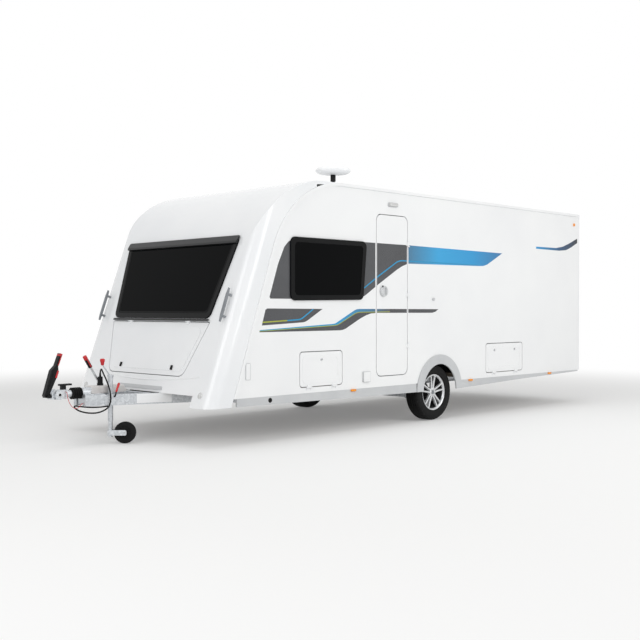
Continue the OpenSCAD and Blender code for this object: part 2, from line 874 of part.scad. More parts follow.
// chassis
// a strip along the left arm, from a to b off its middle line
module arm_strip(a, b) polygon([
    [arm_back, arm_y + a], [arm_bend, arm_y + a], [arm_nose_x, arm_nose_y + a],
    [arm_nose_x, arm_nose_y + b], [arm_bend, arm_y + b], [arm_back, arm_y + b]]);
module chassis_rails() both_sides() difference() {
    block(chassis_rear, chassis_front, rail_y, rail_y + rail_w, rail_low, floor_z);
    block(chassis_rear - over, chassis_front + over, rail_y + fair_t, rail_y + rail_w + over,
        rail_low + fair_t, floor_z - fair_t);
    // lightening holes, away from the cross members
    for (x = [hole_first : hole_pitch : hole_last])
        if (min([for (c = cross_xs) abs(x - c - cross_l / 2)]) > hole_room)
            rod_y(x, rail_y - over, rail_y + rail_w, hole_z, hole_r);
}
module cross_members() for (x = cross_xs) difference() {
    block(x, x + cross_l, -rail_y, rail_y, cross_low, floor_z);
    block(x + fair_t, x + cross_l + over, -rail_y - over, rail_y + over,
        cross_low + fair_t, floor_z - fair_t);
}
module chassis_frame() color("silver") {
    chassis_rails();
    cross_members();
}
module drawbar() color("silver") {
    both_sides() difference() {
        translate([0, 0, rail_low]) linear_extrude(height = floor_z - rail_low) intersection() {
            arm_strip(-arm_half, arm_half);
            translate([0, -reach]) square([reach, reach + rail_y]);
        }
        // each arm is a channel, open to the middle
        translate([0, 0, rail_low + fair_t]) linear_extrude(height = floor_z - rail_low - 2 * fair_t)
            intersection() {
                arm_strip(-arm_half - over, arm_half - 2 * fair_t);
                translate([0, -reach]) square([arm_box_x, reach * 2]);
            }
    }
    difference() {
        translate([0, 0, rail_low]) linear_extrude(height = floor_z - rail_low) polygon([
            [tie_x, arm_at(tie_x)], [tie_x + tie_l, arm_at(tie_x + tie_l)],
            [tie_x + tie_l, -arm_at(tie_x + tie_l)], [tie_x, -arm_at(tie_x)]]);
        rod_x(tie_x - over, tie_x + tie_l + over, 0, rod_z, rod_r * 2);
    }
}
function arm_at(x) = arm_y - arm_slope * (x - arm_bend);
module axle() color("silver") {
    rod_y(axle_x, -swing_y - over, swing_y + over, axle_z, axle_r);
    block(axle_x - over, rod_x0, -yoke_w, yoke_w, axle_z, rod_z + rod_r * 2);
    both_sides() {
        block(axle_x - seat_l / 2, axle_x + seat_l / 2, rail_y, rail_y + rail_w, axle_z, rail_low);
        rod_y(axle_x, swing_y, swing_y + arm_t, axle_z, swing_r + fair_t);
        slab(swing_y, swing_y + arm_t) polygon([[axle_x, axle_z + swing_r], [axle_x, axle_z - swing_r],
            [0, tyre_r - swing_eye_r], [0, tyre_r + swing_eye_r]]);
        rod_y(0, swing_y, swing_y + arm_t, tyre_r, swing_eye_r);
        rod_y(0, swing_y, hub_y1, tyre_r, hub_r);
    }
}
module brake_gear() color("silver") {
    rod_x(rod_x0, house_x0, 0, rod_z, rod_r);
}

// overrun gear and coupling
module overrun_housing() color("silver") difference() {
    union() {
        block(house_x0, house_x1, -house_w / 2, house_w / 2, rod_z - rod_r * 2, draw_z);
        rod_x(house_x0, house_x1, 0, draw_z, house_r);
        translate([0, 0, floor_z]) linear_extrude(height = ear_t) polygon([
            [ear_x0, arm_at(ear_x0)], [house_x1, arm_at(house_x1)],
            [house_x1, -arm_at(house_x1)], [ear_x0, -arm_at(ear_x0)]]);
    }
    rod_x(house_x0 + over, house_x1 + over, 0, draw_z, draw_r + hinge_gap * 2);
}
module overrun_cover() color("lightgray") difference() {
    // sloped ends seen from the side, rounded edges seen from the front
    intersection() {
        slab(-cover_w / 2, cover_w / 2) polygon(rounded([[cover_x0, cover_low], [cover_x1, cover_low],
            [cover_x1 - cover_slope, cover_top], [cover_x0 + cover_slope, cover_top]], cover_r));
        translate([cover_x0, 0, 0]) rotate([90, 0, 90]) linear_extrude(height = cover_x1 - cover_x0)
            polygon(rounded(trapeze(cover_w / 2, cover_low - over, cover_w / 2, cover_top), cover_r));
    }
    block(0, reach, -house_w / 2, house_w / 2, 0, draw_z);
    rod_x(0, reach, 0, draw_z, house_r);
    block(ear_x0, reach, -reach, reach, 0, floor_z + ear_t);
}
module bellows() color("black") translate([house_x1, 0, draw_z]) rotate([0, 90, 0]) difference() {
    pitch = (bell_x1 - house_x1) / bell_n;
    rotate_extrude() polygon(concat([[bell_in_r, 0]],
        [for (k = [0 : bell_n - 1]) each [[bell_low_r, k * pitch], [bell_r, k * pitch + pitch / 2]]],
        [[bell_low_r, bell_x1 - house_x1], [bell_in_r, bell_x1 - house_x1]]));
}
module coupling_head() color("silver") difference() {
    union() {
        rod_x(house_x0 + over * 4, head_x0 + over, 0, draw_z, draw_r);
        rod_x(head_x0, head_x0 + neck_l, 0, draw_z, neck_r);
        slab(-head_w / 2, head_w / 2) polygon(rounded([[head_x0 + neck_l - over, head_low],
            [head_x1 - head_cut, head_low], [head_x1, head_low + head_cut], [head_x1, head_front_top],
            [ball_x - ball_r + head_fall, head_front_top], [ball_x - ball_r, head_top],
            [head_x0 + neck_l - over, head_top]], head_r));
        both_sides() rod_y(ball_x - over, head_w / 2 - over / 4, head_w / 2 + pad_t, draw_z, pad_r);
    }
    translate([ball_x, 0, 0]) cylinder(r = ball_r, h = head_low + ball_h);
}
module stabiliser_lever() {
    lever_l = norm([lever_tip_x - lever_x, lever_tip_z - lever_z]);
    block(head_x1, head_x1 + lever_yoke_l, -lever_yoke, lever_yoke, draw_z - lever_yoke_h, draw_z);
    translate([lever_x, 0, lever_z]) rotate([0, atan2(lever_tip_x - lever_x, lever_tip_z - lever_z), 0])
        slab(-lever_t / 2, lever_t / 2) polygon([[-lever_foot_w, 0], [lever_foot_w, 0],
            [lever_body_w, lever_l * lever_swell_share], [lever_hand_w, lever_l * lever_neck_share],
            [lever_hand_w, lever_l], [-lever_hand_w, lever_l], [-lever_hand_w, lever_l * lever_neck_share],
            [-lever_body_w, lever_l * lever_swell_share]]);
}
module coupling_grip() {
    block(grip_x, grip_x + grip_w, -grip_w / 2, grip_w / 2, grip_z, grip_z + grip_h);
    block(grip_x - grip_l / 2, grip_x + grip_l / 2, -grip_w / 2, grip_w / 2, grip_z + grip_h - grip_t,
        grip_z + grip_h);
}
module coupling_levers() color("black") {
    stabiliser_lever();
    coupling_grip();
}
module handbrake() color("gray") translate([brake_x, brake_y, brake_z]) {
    translate([-brake_r * 2, -brake_r, 0]) cube([brake_r * 4, brake_r * 2, brake_grip_r * 2]);
    translate([0, 0, brake_grip_r]) rotate([0, brake_lean, 0]) {
        cylinder(r = brake_r, h = brake_l);
        translate([0, 0, brake_l - brake_grip_l]) cylinder(r = brake_grip_r, h = brake_grip_l);
    }
}
module plug_holder() color("black") {
    translate([plug_x, 0, cover_top]) cylinder(r = plug_r, h = plug_h);
    translate([plug_x, 0, cover_top]) cylinder(r = plug_r + over / 4, h = holder_h);
}
module tow_cable() color("black") tube_along(cable_route, cable_r, cable_sides, cable_steps);
module breakaway_cable() color("red") tube_along(wire_route, wire_r, wire_sides, cable_steps);
module jockey_clamp() color("silver") difference() {
    block(jock_x - clamp_w, jock_x + clamp_w, jock_y - clamp_w, arm_at(jock_x + clamp_w) - arm_half,
        clamp_low, clamp_low + clamp_h);
    translate([jock_x, jock_y, 0]) cylinder(r = jock_out_r + clamp_gap, h = reach);
}

// jockey wheel
module at_jockey() translate([jock_x, jock_y, 0]) rotate([0, 0, jock_turn]) children();
module jockey_tube() color("lightgray") difference() {
    union() {
        translate([jock_x, jock_y, jock_low]) cylinder(r = jock_out_r, h = jock_high - jock_low);
        translate([jock_x, jock_y, jock_high]) cylinder(r = jock_out_r + over / 4, h = cap_h);
        translate([jock_x, jock_y, jock_high]) rotate([0, atan2(crank_l, crank_h), 0])
            cylinder(r = crank_r, h = norm([crank_l, crank_h]));
        translate([jock_x + crank_l, jock_y, jock_high + crank_h - crank_r])
            cylinder(r1 = knob_neck_r, r2 = knob_r, h = knob_h);
    }
    translate([jock_x, jock_y, 0]) cylinder(r = jock_bore_r, h = jock_stem_top + over * 5);
}
module jockey_fork() color("silver") at_jockey() {
    translate([0, 0, jock_stem_low]) cylinder(r = jock_in_r, h = jock_stem_top - jock_stem_low);
    translate([-fork_block / 2, -fork_gap - fork_t, jockey_r - fork_h / 2])
        cube([fork_block, 2 * (fork_gap + fork_t), fork_h]);
    for (s = [-1, 1])
        slab(s * (fork_gap + fork_t / 2) - fork_t / 2, s * (fork_gap + fork_t / 2) + fork_t / 2)
            polygon(rounded(rect(0, jockey_r - fork_h / 2, jock_trail + fork_back, jockey_r + fork_h / 2),
                fork_back - fork_t / 2));
    translate([jock_trail, fork_gap + fork_t, jockey_r]) rotate([90, 0, 0])
        cylinder(r = jock_pin_r, h = 2 * (fork_gap + fork_t));
}
module jockey_wheel() color("black") at_jockey()
    translate([jock_trail, jock_tyre_w / 2, jockey_r]) rotate([90, 0, 0]) difference() {
        cylinder(r = jockey_r, h = jock_tyre_w, $fn = 96);
        translate([0, 0, -over]) cylinder(r = jock_pin_r + jock_pin_gap, h = jock_tyre_w + 2 * over);
        for (z = [0, jock_tyre_w - jock_dish]) translate([0, 0, z]) difference() {
            cylinder(r = jock_dish_r, h = jock_dish);
            cylinder(r = jock_boss_r, h = jock_dish);
        }
    }

// road wheels
module at_wheel(side) mirror([0, side < 0 ? 1 : 0, 0]) translate([0, 0, tyre_r]) children();
// turned section with radius across and y up the axle
module turned() rotate([-90, 0, 0]) rotate_extrude($fn = 96) children();
module tyre(side) color("black") at_wheel(side) turned() {
    y0 = tyre_out - tyre_w;
    polygon([[rim_r, y0 + tyre_side], [rim_r + tyre_side, y0], [tyre_r - tyre_shoulder, y0],
        [tyre_r, y0 + tyre_shoulder], [tyre_r, tyre_out - tyre_shoulder], [tyre_r - tyre_shoulder, tyre_out],
        [rim_r + tyre_side, tyre_out], [rim_r, tyre_out - tyre_side]]);
}
module rim(side) color("silver") at_wheel(side) rotate([-90, 0, 0]) difference() {
    union() {
        rotate_extrude($fn = 96) polygon([[rim_r - rim_t, tyre_out - tyre_w + tyre_side],
            [rim_r, tyre_out - tyre_w + tyre_side], [rim_r, tyre_out - tyre_side],
            [rim_r - rim_lip, tyre_out - tyre_side], [rim_r - rim_t, face_y]]);
        translate([0, 0, face_y]) linear_extrude(height = face_t) spoke_shape();
        translate([0, 0, drum_y0]) cylinder(r = drum_r, h = drum_y1 - drum_y0);
        translate([0, 0, drum_y0 + rim_t]) cylinder(r = boss_r - rim_t, h = face_y + rim_t - drum_y0);
    }
    cylinder(r = bore_r, h = hub_y1 + over);
}
module spoke_shape() intersection() {
    circle(r = rim_r - rim_t / 2, $fn = 96);
    union() {
        circle(r = boss_r);
        for (k = [0 : spoke_n - 1])
            rotate(k * 360 / spoke_n) for (s = [-1, 1])
                translate([s * (spoke_w + spoke_gap) / 2 - spoke_w / 2, 0]) square([spoke_w, rim_r]);
    }
}
module tyre_left() tyre(1);
module tyre_right() tyre(-1);
module rim_left() rim(1);
module rim_right() rim(-1);

// corner legs: drawn for the front left, mirrored for the others
module at_leg(front, side)
    mirror([0, side < 0 ? 1 : 0, 0]) mirror([front < 0 ? 1 : 0, 0, 0])
        translate([front < 0 ? leg_rear_x : leg_x, leg_y, leg_z]) children();
module leg(front, side) color("silver") at_leg(front, side) difference() {
    union() {
        rod_y(0, -leg_w / 2, leg_w / 2, 0, leg_eye_r);
        block(0, leg_l, -leg_w / 2, leg_w / 2, -leg_h / 2, leg_h / 2);
        block(leg_l - foot_l, leg_l, -foot_w / 2, foot_w / 2, -leg_h / 2 - foot_h, -leg_h / 2);
    }
    rod_y(0, -leg_w, leg_w, 0, leg_pin_r + leg_pin_gap);
    block(leg_open, leg_l - leg_wall, leg_wall - leg_w / 2, leg_w / 2 - leg_wall,
        leg_wall - leg_h / 2, leg_h);
}
module leg_brackets() color("silver") for (front = [-1, 1]) for (side = [-1, 1])
    at_leg(front, side) {
        for (s = [-1, 1]) {
            rod_y(0, s * (leg_w / 2 + ear_gap + ear_w / 2) - ear_w / 2,
                s * (leg_w / 2 + ear_gap + ear_w / 2) + ear_w / 2, 0, leg_eye_r);
            block(-leg_eye_r, leg_eye_r, s * (leg_w / 2 + ear_gap + ear_w / 2) - ear_w / 2,
                s * (leg_w / 2 + ear_gap + ear_w / 2) + ear_w / 2, 0, floor_z - leg_z);
        }
        rod_y(0, -leg_w / 2 - ear_gap - ear_w, leg_w / 2 + ear_gap + ear_w, 0, leg_pin_r);
    }
module leg_front_left() leg(1, 1);
module leg_front_right() leg(1, -1);
module leg_rear_left() leg(-1, 1);
module leg_rear_right() leg(-1, -1);

// roof aerial
module aerial_mast() color("black") translate([aerial_x, aerial_y, 0]) {
    translate([0, 0, roof_z]) cylinder(r = mast_foot_r, h = mast_foot_h);
    translate([0, 0, roof_z]) cylinder(r = mast_r, h = mast_z - roof_z);
    translate([0, 0, mast_collar_z]) cylinder(r = mast_collar_r, h = mast_z - mast_collar_z);
    translate([0, 0, mast_z]) cylinder(r = dish_pin_r, h = dish_socket);
}
module aerial_head() color("white") translate([aerial_x, aerial_y, mast_z + dish_gap]) difference() {
    intersection() {
        rotate_extrude() polygon([[0, 0], [dish_r / 2, 0], [dish_r, (dish_h - dish_edge) / 2],
            [dish_r, (dish_h + dish_edge) / 2], [dish_r / 2, dish_h], [0, dish_h]]);
        rotate([0, 0, dish_turn]) translate([-reach / 2, -dish_d / 2, -over]) cube([reach, dish_d, reach]);
    }
    translate([0, 0, -over]) cylinder(r = dish_bore_r, h = over + dish_socket + dish_gap);
}

// small fittings
module grab_handles() color("gray") {
    both_sides() on_nose() {
        for (z = [handle_low, handle_high])
            translate([0, handle_y - handle_foot / 2, z - handle_foot / 2])
                cube([handle_out, handle_foot, handle_foot]);
    }
    both_sides() nose_slab(handle_out - handle_r, handle_out + handle_r)
        polygon([[handle_y, handle_low - handle_tip], [handle_y + handle_r, handle_low],
            [handle_y + handle_r, handle_high], [handle_y, handle_high + handle_tip],
            [handle_y - handle_r, handle_high], [handle_y - handle_r, handle_low]]);
    both_sides() translate([-tail_x, rear_grip_y, rear_grip_z]) {
        for (y = [0, rear_grip_l - handle_foot])
            translate([-rear_lamp_t, y - rear_grip_l / 2, -handle_foot / 2])
                cube([rear_lamp_t, handle_foot, handle_foot]);
        rod_y(-rear_lamp_t + handle_r, -rear_grip_l / 2, rear_grip_l / 2, 0, handle_r);
    }
}
module fairing() color("white") both_sides()
    translate([0, 0, fair_low]) linear_extrude(height = fair_top - fair_low) polygon([
        [fair_back, arm_at(fair_back) + fair_in], [fair_x1, arm_at(fair_x1) + fair_in],
        [fair_x1, arm_at(fair_x1) + fair_in + fair_t], [fair_back, arm_at(fair_back) + fair_in + fair_t]]);
module front_bar() nose_slab(0, bar_t)
    polygon(rounded(trapeze(bar_y, bar_z0, bar_y, bar_z1), bar_t));
module rear_lamps() color("red") both_sides() rear_slab(0, rear_lamp_t)
    polygon(rounded(rect(rear_lamp_y - rear_lamp_w / 2, rear_lamp_z0, rear_lamp_y + rear_lamp_w / 2,
        rear_lamp_z1), over));
module rear_bumper() rear_slab(0, bumper_t)
    polygon(rounded(trapeze(half_w - over, wall_z, half_w - over, wall_z + bumper_h), bumper_t));
module fridge_vents() color("white") mirror([0, 1, 0]) for (z = vent_zs) difference() {
    block(vent_x0, vent_x1, half_w, half_w + vent_t, z, z + vent_h);
    for (k = [1 : vent_n])
        block(vent_x0 + over * 2, vent_x1 - over * 2, half_w + vent_t / 2, half_w + vent_t * 2,
            z + k * vent_h / (vent_n + 1) - vent_slot / 2, z + k * vent_h / (vent_n + 1) + vent_slot / 2);
}
module fittings() color("gray") {
    front_bar();
    slab(half_w, half_w + socket_t) polygon(rounded(rect(socket_x - socket_s / 2, socket_z - socket_s / 2,
        socket_x + socket_s / 2, socket_z + socket_s / 2), small_r));
    slab(half_w, half_w + leaf_t) polygon(rounded(rect(plate_x - plate_l / 2, plate_z, plate_x + plate_l / 2,
        plate_z + plate_h), small_r));
    rod_y(stay_x, half_w, half_w + stay_l, stay_z, stay_r);
    slab(half_w, half_w + awn_t) polygon(rounded(rect(awn_x - awn_l / 2, awn_z, awn_x + awn_l / 2,
        awn_z + awn_h), small_r));
}
module locks() color("black") nose_slab(lid_rise, lid_rise + latch_t) for (s = [-1, 1])
    translate([s * latch_y - latch_w / 2, lid_foot + latch_z]) square([latch_w, latch_h]);

centred() {
    wall_left();
    wall_right();
    roof_panel();
    front_panel();
    rear_panel();
    floor_panel();
    roof_rails();
    wheel_boxes();
    lower_trim();
    arch_trims();
    marker_lamps();
    windows();
    window_trim();
    rooflights();
    locker_box();
    furniture();
    cushions();
    opening_frames();
    fixed_hinges();
    door();
    door_handle();
    hatch_front_left();
    hatch_rear_left();
    hatch_rear_right();
    gas_lid();
    locks();
    chassis_frame();
    drawbar();
    axle();
    brake_gear();
    overrun_housing();
    overrun_cover();
    bellows();
    coupling_head();
    coupling_levers();
    handbrake();
    plug_holder();
    tow_cable();
    breakaway_cable();
    jockey_clamp();
    jockey_tube();
    jockey_fork();
    jockey_wheel();
    tyre_left();
    tyre_right();
    rim_left();
    rim_right();
    leg_front_left();
    leg_front_right();
    leg_rear_left();
    leg_rear_right();
    leg_brackets();
    aerial_mast();
    aerial_head();
    grab_handles();
    fairing();
    rear_lamps();
    fridge_vents();
    fittings();
}
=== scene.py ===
import math

import bmesh
import bpy
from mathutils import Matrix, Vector


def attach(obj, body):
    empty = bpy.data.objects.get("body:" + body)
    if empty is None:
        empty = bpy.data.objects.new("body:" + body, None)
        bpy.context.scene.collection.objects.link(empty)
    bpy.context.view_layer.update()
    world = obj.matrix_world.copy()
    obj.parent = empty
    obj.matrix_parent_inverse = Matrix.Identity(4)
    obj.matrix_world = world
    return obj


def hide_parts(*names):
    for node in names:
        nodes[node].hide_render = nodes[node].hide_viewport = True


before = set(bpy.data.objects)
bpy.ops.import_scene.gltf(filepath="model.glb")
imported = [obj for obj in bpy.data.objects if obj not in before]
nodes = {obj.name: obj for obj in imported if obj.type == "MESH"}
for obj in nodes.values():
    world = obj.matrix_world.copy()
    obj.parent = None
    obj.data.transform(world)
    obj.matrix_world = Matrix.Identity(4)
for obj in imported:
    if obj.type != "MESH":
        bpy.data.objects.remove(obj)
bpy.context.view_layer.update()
print("frame loaded")

# places are measured from the axle, as in the drawing, then moved to the middle of the length
body = {"shift": 0.545, "half": 1.1, "noseX": 3.24, "noseZ": 0.43, "rake": math.radians(20), "tail": 3.115,
        "roof": 2.51}
sideTags = ((-1, "right"), (1, "left"))


def at(x, y, z):
    return Vector((x - body["shift"], y, z))


def onSide(x, z, out=0.0, side=1):
    return at(x, side * (body["half"] + out), z)


def onNose(up, y, out=0.0):
    c, s = math.cos(body["rake"]), math.sin(body["rake"])
    return at(body["noseX"] + out * c - up * s, y, body["noseZ"] + out * s + up * c)


def onRear(y, z, out=0.0):
    return at(-body["tail"] - out, y, z)


# camera, fitted to the photograph
camera = {"place": (8.695, 7.838, 1.249), "yaw": 0.778, "pitch": -0.01155, "focal": 975.6, "frame": 640,
          "sensor": 36.0}
camData = bpy.data.cameras.new("camera")
camData.sensor_width = camera["sensor"]
camData.lens = camera["sensor"] * camera["focal"] / camera["frame"]
camData.clip_end = 200
camObj = bpy.data.objects.new("camera", camData)
bpy.context.scene.collection.objects.link(camObj)
camObj.location = at(*camera["place"])
lookDir = Vector((-math.cos(camera["yaw"]) * math.cos(camera["pitch"]),
                  -math.sin(camera["yaw"]) * math.cos(camera["pitch"]), math.sin(camera["pitch"])))
camObj.rotation_mode = "QUATERNION"
camObj.rotation_quaternion = lookDir.to_track_quat("-Z", "Y")
bpy.context.scene.camera = camObj


# colours and node helpers
def linear(code):
    parts = [int(code[i:i + 2], 16) / 255 for i in (1, 3, 5)]
    return [c / 12.92 if c <= 0.04045 else ((c + 0.055) / 1.055) ** 2.4 for c in parts] + [1.0]


def addNode(tree, kind, links=None, values=None, **settings):
    node = tree.nodes.new(kind)
    for key, value in settings.items():
        setattr(node, key, value)
    for key, value in (values or {}).items():
        node.inputs[key].default_value = value
    for key, source in (links or {}).items():
        tree.links.new(source, node.inputs[key])
    return node


def newMaterial(name):
    mat = bpy.data.materials.new(name)
    mat.use_nodes = True
    tree = mat.node_tree
    tree.nodes.clear()
    out = addNode(tree, "ShaderNodeOutputMaterial")
    shader = addNode(tree, "ShaderNodeBsdfPrincipled")
    tree.links.new(shader.outputs[0], out.inputs[0])
    coords = addNode(tree, "ShaderNodeTexCoord")
    return mat, tree, shader, coords.outputs["Object"]


# a surface with two close colours mottled by noise, uneven gloss and a fine relief; sizes in mm
def surface(name, dark, light, rough=(0.3, 0.4), grain=2.0, patch=300.0, relief=0.05, metal=0.0, coat=0.0,
            coatRough=0.1, specular=0.5, sheen=0.0):
    mat, tree, shader, place = newMaterial(name)
    broad = addNode(tree, "ShaderNodeTexNoise", {"Vector": place},
                    {"Scale": 1000 / patch, "Detail": 3.0, "Roughness": 0.55})
    fine = addNode(tree, "ShaderNodeTexNoise", {"Vector": place}, {"Scale": 1000 / grain, "Detail": 2.0})
    ramp = addNode(tree, "ShaderNodeValToRGB", {"Fac": broad.outputs["Fac"]})
    ramp.color_ramp.elements[0].position, ramp.color_ramp.elements[1].position = 0.3, 0.7
    ramp.color_ramp.elements[0].color, ramp.color_ramp.elements[1].color = linear(dark), linear(light)
    gloss = addNode(tree, "ShaderNodeMapRange", {"Value": fine.outputs["Fac"]},
                    {"To Min": rough[0], "To Max": rough[1]})
    bump = addNode(tree, "ShaderNodeBump", {"Height": fine.outputs["Fac"]},
                   {"Strength": min(1.0, relief * 4), "Distance": relief / 1000})
    tree.links.new(ramp.outputs["Color"], shader.inputs["Base Color"])
    tree.links.new(gloss.outputs[0], shader.inputs["Roughness"])
    tree.links.new(bump.outputs[0], shader.inputs["Normal"])
    shader.inputs["Metallic"].default_value = metal
    shader.inputs["Coat Weight"].default_value = coat
    shader.inputs["Coat Roughness"].default_value = coatRough
    shader.inputs["Specular IOR Level"].default_value = specular
    shader.inputs["Sheen Weight"].default_value = sheen
    return mat


# zinc spangle on hot-dipped steel
def galvanised(name, dark, light, flake):
    mat, tree, shader, place = newMaterial(name)
    cells = addNode(tree, "ShaderNodeTexVoronoi", {"Vector": place}, {"Scale": 1000 / flake})
    dull = addNode(tree, "ShaderNodeTexNoise", {"Vector": place}, {"Scale": 9.0, "Detail": 5.0})
    share = addNode(tree, "ShaderNodeMath", {0: cells.outputs["Color"], 1: dull.outputs["Fac"]}, operation="MULTIPLY")
    ramp = addNode(tree, "ShaderNodeValToRGB", {"Fac": share.outputs[0]})
    ramp.color_ramp.elements[0].color, ramp.color_ramp.elements[1].color = linear(dark), linear(light)
    ramp.color_ramp.elements[1].position = 0.55
    gloss = addNode(tree, "ShaderNodeMapRange", {"Value": cells.outputs["Color"]}, {"To Min": 0.34, "To Max": 0.55})
    bump = addNode(tree, "ShaderNodeBump", {"Height": dull.outputs["Fac"]}, {"Strength": 0.15, "Distance": 0.0004})
    tree.links.new(ramp.outputs["Color"], shader.inputs["Base Color"])
    tree.links.new(gloss.outputs[0], shader.inputs["Roughness"])
    tree.links.new(bump.outputs[0], shader.inputs["Normal"])
    shader.inputs["Metallic"].default_value = 0.85
    return mat


# tinted clear plastic; the lens kind has moulded ribs
def tinted(name, colour, through, rough=0.04, ribs=0.0, specular=0.4):
    mat, tree, shader, place = newMaterial(name)
    haze = addNode(tree, "ShaderNodeTexNoise", {"Vector": place}, {"Scale": 3.0, "Detail": 2.0})
    gloss = addNode(tree, "ShaderNodeMapRange", {"Value": haze.outputs["Fac"]},
                    {"To Min": rough * 0.6, "To Max": rough * 1.4})
    tree.links.new(gloss.outputs[0], shader.inputs["Roughness"])
    if ribs:
        wave = addNode(tree, "ShaderNodeTexWave", {"Vector": place}, {"Scale": 1000 / ribs / 6.283},
                       bands_direction="DIAGONAL")
        bump = addNode(tree, "ShaderNodeBump", {"Height": wave.outputs["Fac"]}, {"Strength": 0.5, "Distance": 0.0015})
        tree.links.new(bump.outputs[0], shader.inputs["Normal"])
    shader.inputs["Base Color"].default_value = linear(colour)
    shader.inputs["Transmission Weight"].default_value = through
    shader.inputs["IOR"].default_value = 1.49
    shader.inputs["Specular IOR Level"].default_value = specular
    return mat


# printed foil whose colour runs along the side
def foil(name, stops, start, end):
    mat, tree, shader, place = newMaterial(name)
    split = addNode(tree, "ShaderNodeSeparateXYZ", {"Vector": place})
    run = addNode(tree, "ShaderNodeMapRange", {"Value": split.outputs["X"]},
                  {"From Min": start - body["shift"], "From Max": end - body["shift"]})
    ramp = addNode(tree, "ShaderNodeValToRGB", {"Fac": run.outputs[0]})
    ramp.color_ramp.elements[0].color, ramp.color_ramp.elements[1].color = linear(stops[0][1]), linear(stops[-1][1])
    for share, code in stops[1:-1]:
        ramp.color_ramp.elements.new(share).color = linear(code)
    grain = addNode(tree, "ShaderNodeTexNoise", {"Vector": place}, {"Scale": 400.0, "Detail": 2.0})
    gloss = addNode(tree, "ShaderNodeMapRange", {"Value": grain.outputs["Fac"]}, {"To Min": 0.22, "To Max": 0.34})
    tree.links.new(ramp.outputs["Color"], shader.inputs["Base Color"])
    tree.links.new(gloss.outputs[0], shader.inputs["Roughness"])
    return mat


# long grain along one axis
def woodGrain(name, dark, light, ring):
    mat, tree, shader, place = newMaterial(name)
    spread = addNode(tree, "ShaderNodeMapping", {"Vector": place}, {"Scale": (1.0, 1.0, 0.08)})
    grain = addNode(tree, "ShaderNodeTexNoise", {"Vector": spread.outputs[0]},
                    {"Scale": 1000 / ring, "Detail": 6.0, "Distortion": 0.6})
    ramp = addNode(tree, "ShaderNodeValToRGB", {"Fac": grain.outputs["Fac"]})
    ramp.color_ramp.elements[0].position, ramp.color_ramp.elements[1].position = 0.35, 0.7
    ramp.color_ramp.elements[0].color, ramp.color_ramp.elements[1].color = linear(dark), linear(light)
    bump = addNode(tree, "ShaderNodeBump", {"Height": grain.outputs["Fac"]}, {"Strength": 0.2, "Distance": 0.0003})
    tree.links.new(ramp.outputs["Color"], shader.inputs["Base Color"])
    tree.links.new(bump.outputs[0], shader.inputs["Normal"])
    shader.inputs["Roughness"].default_value = 0.42
    return mat


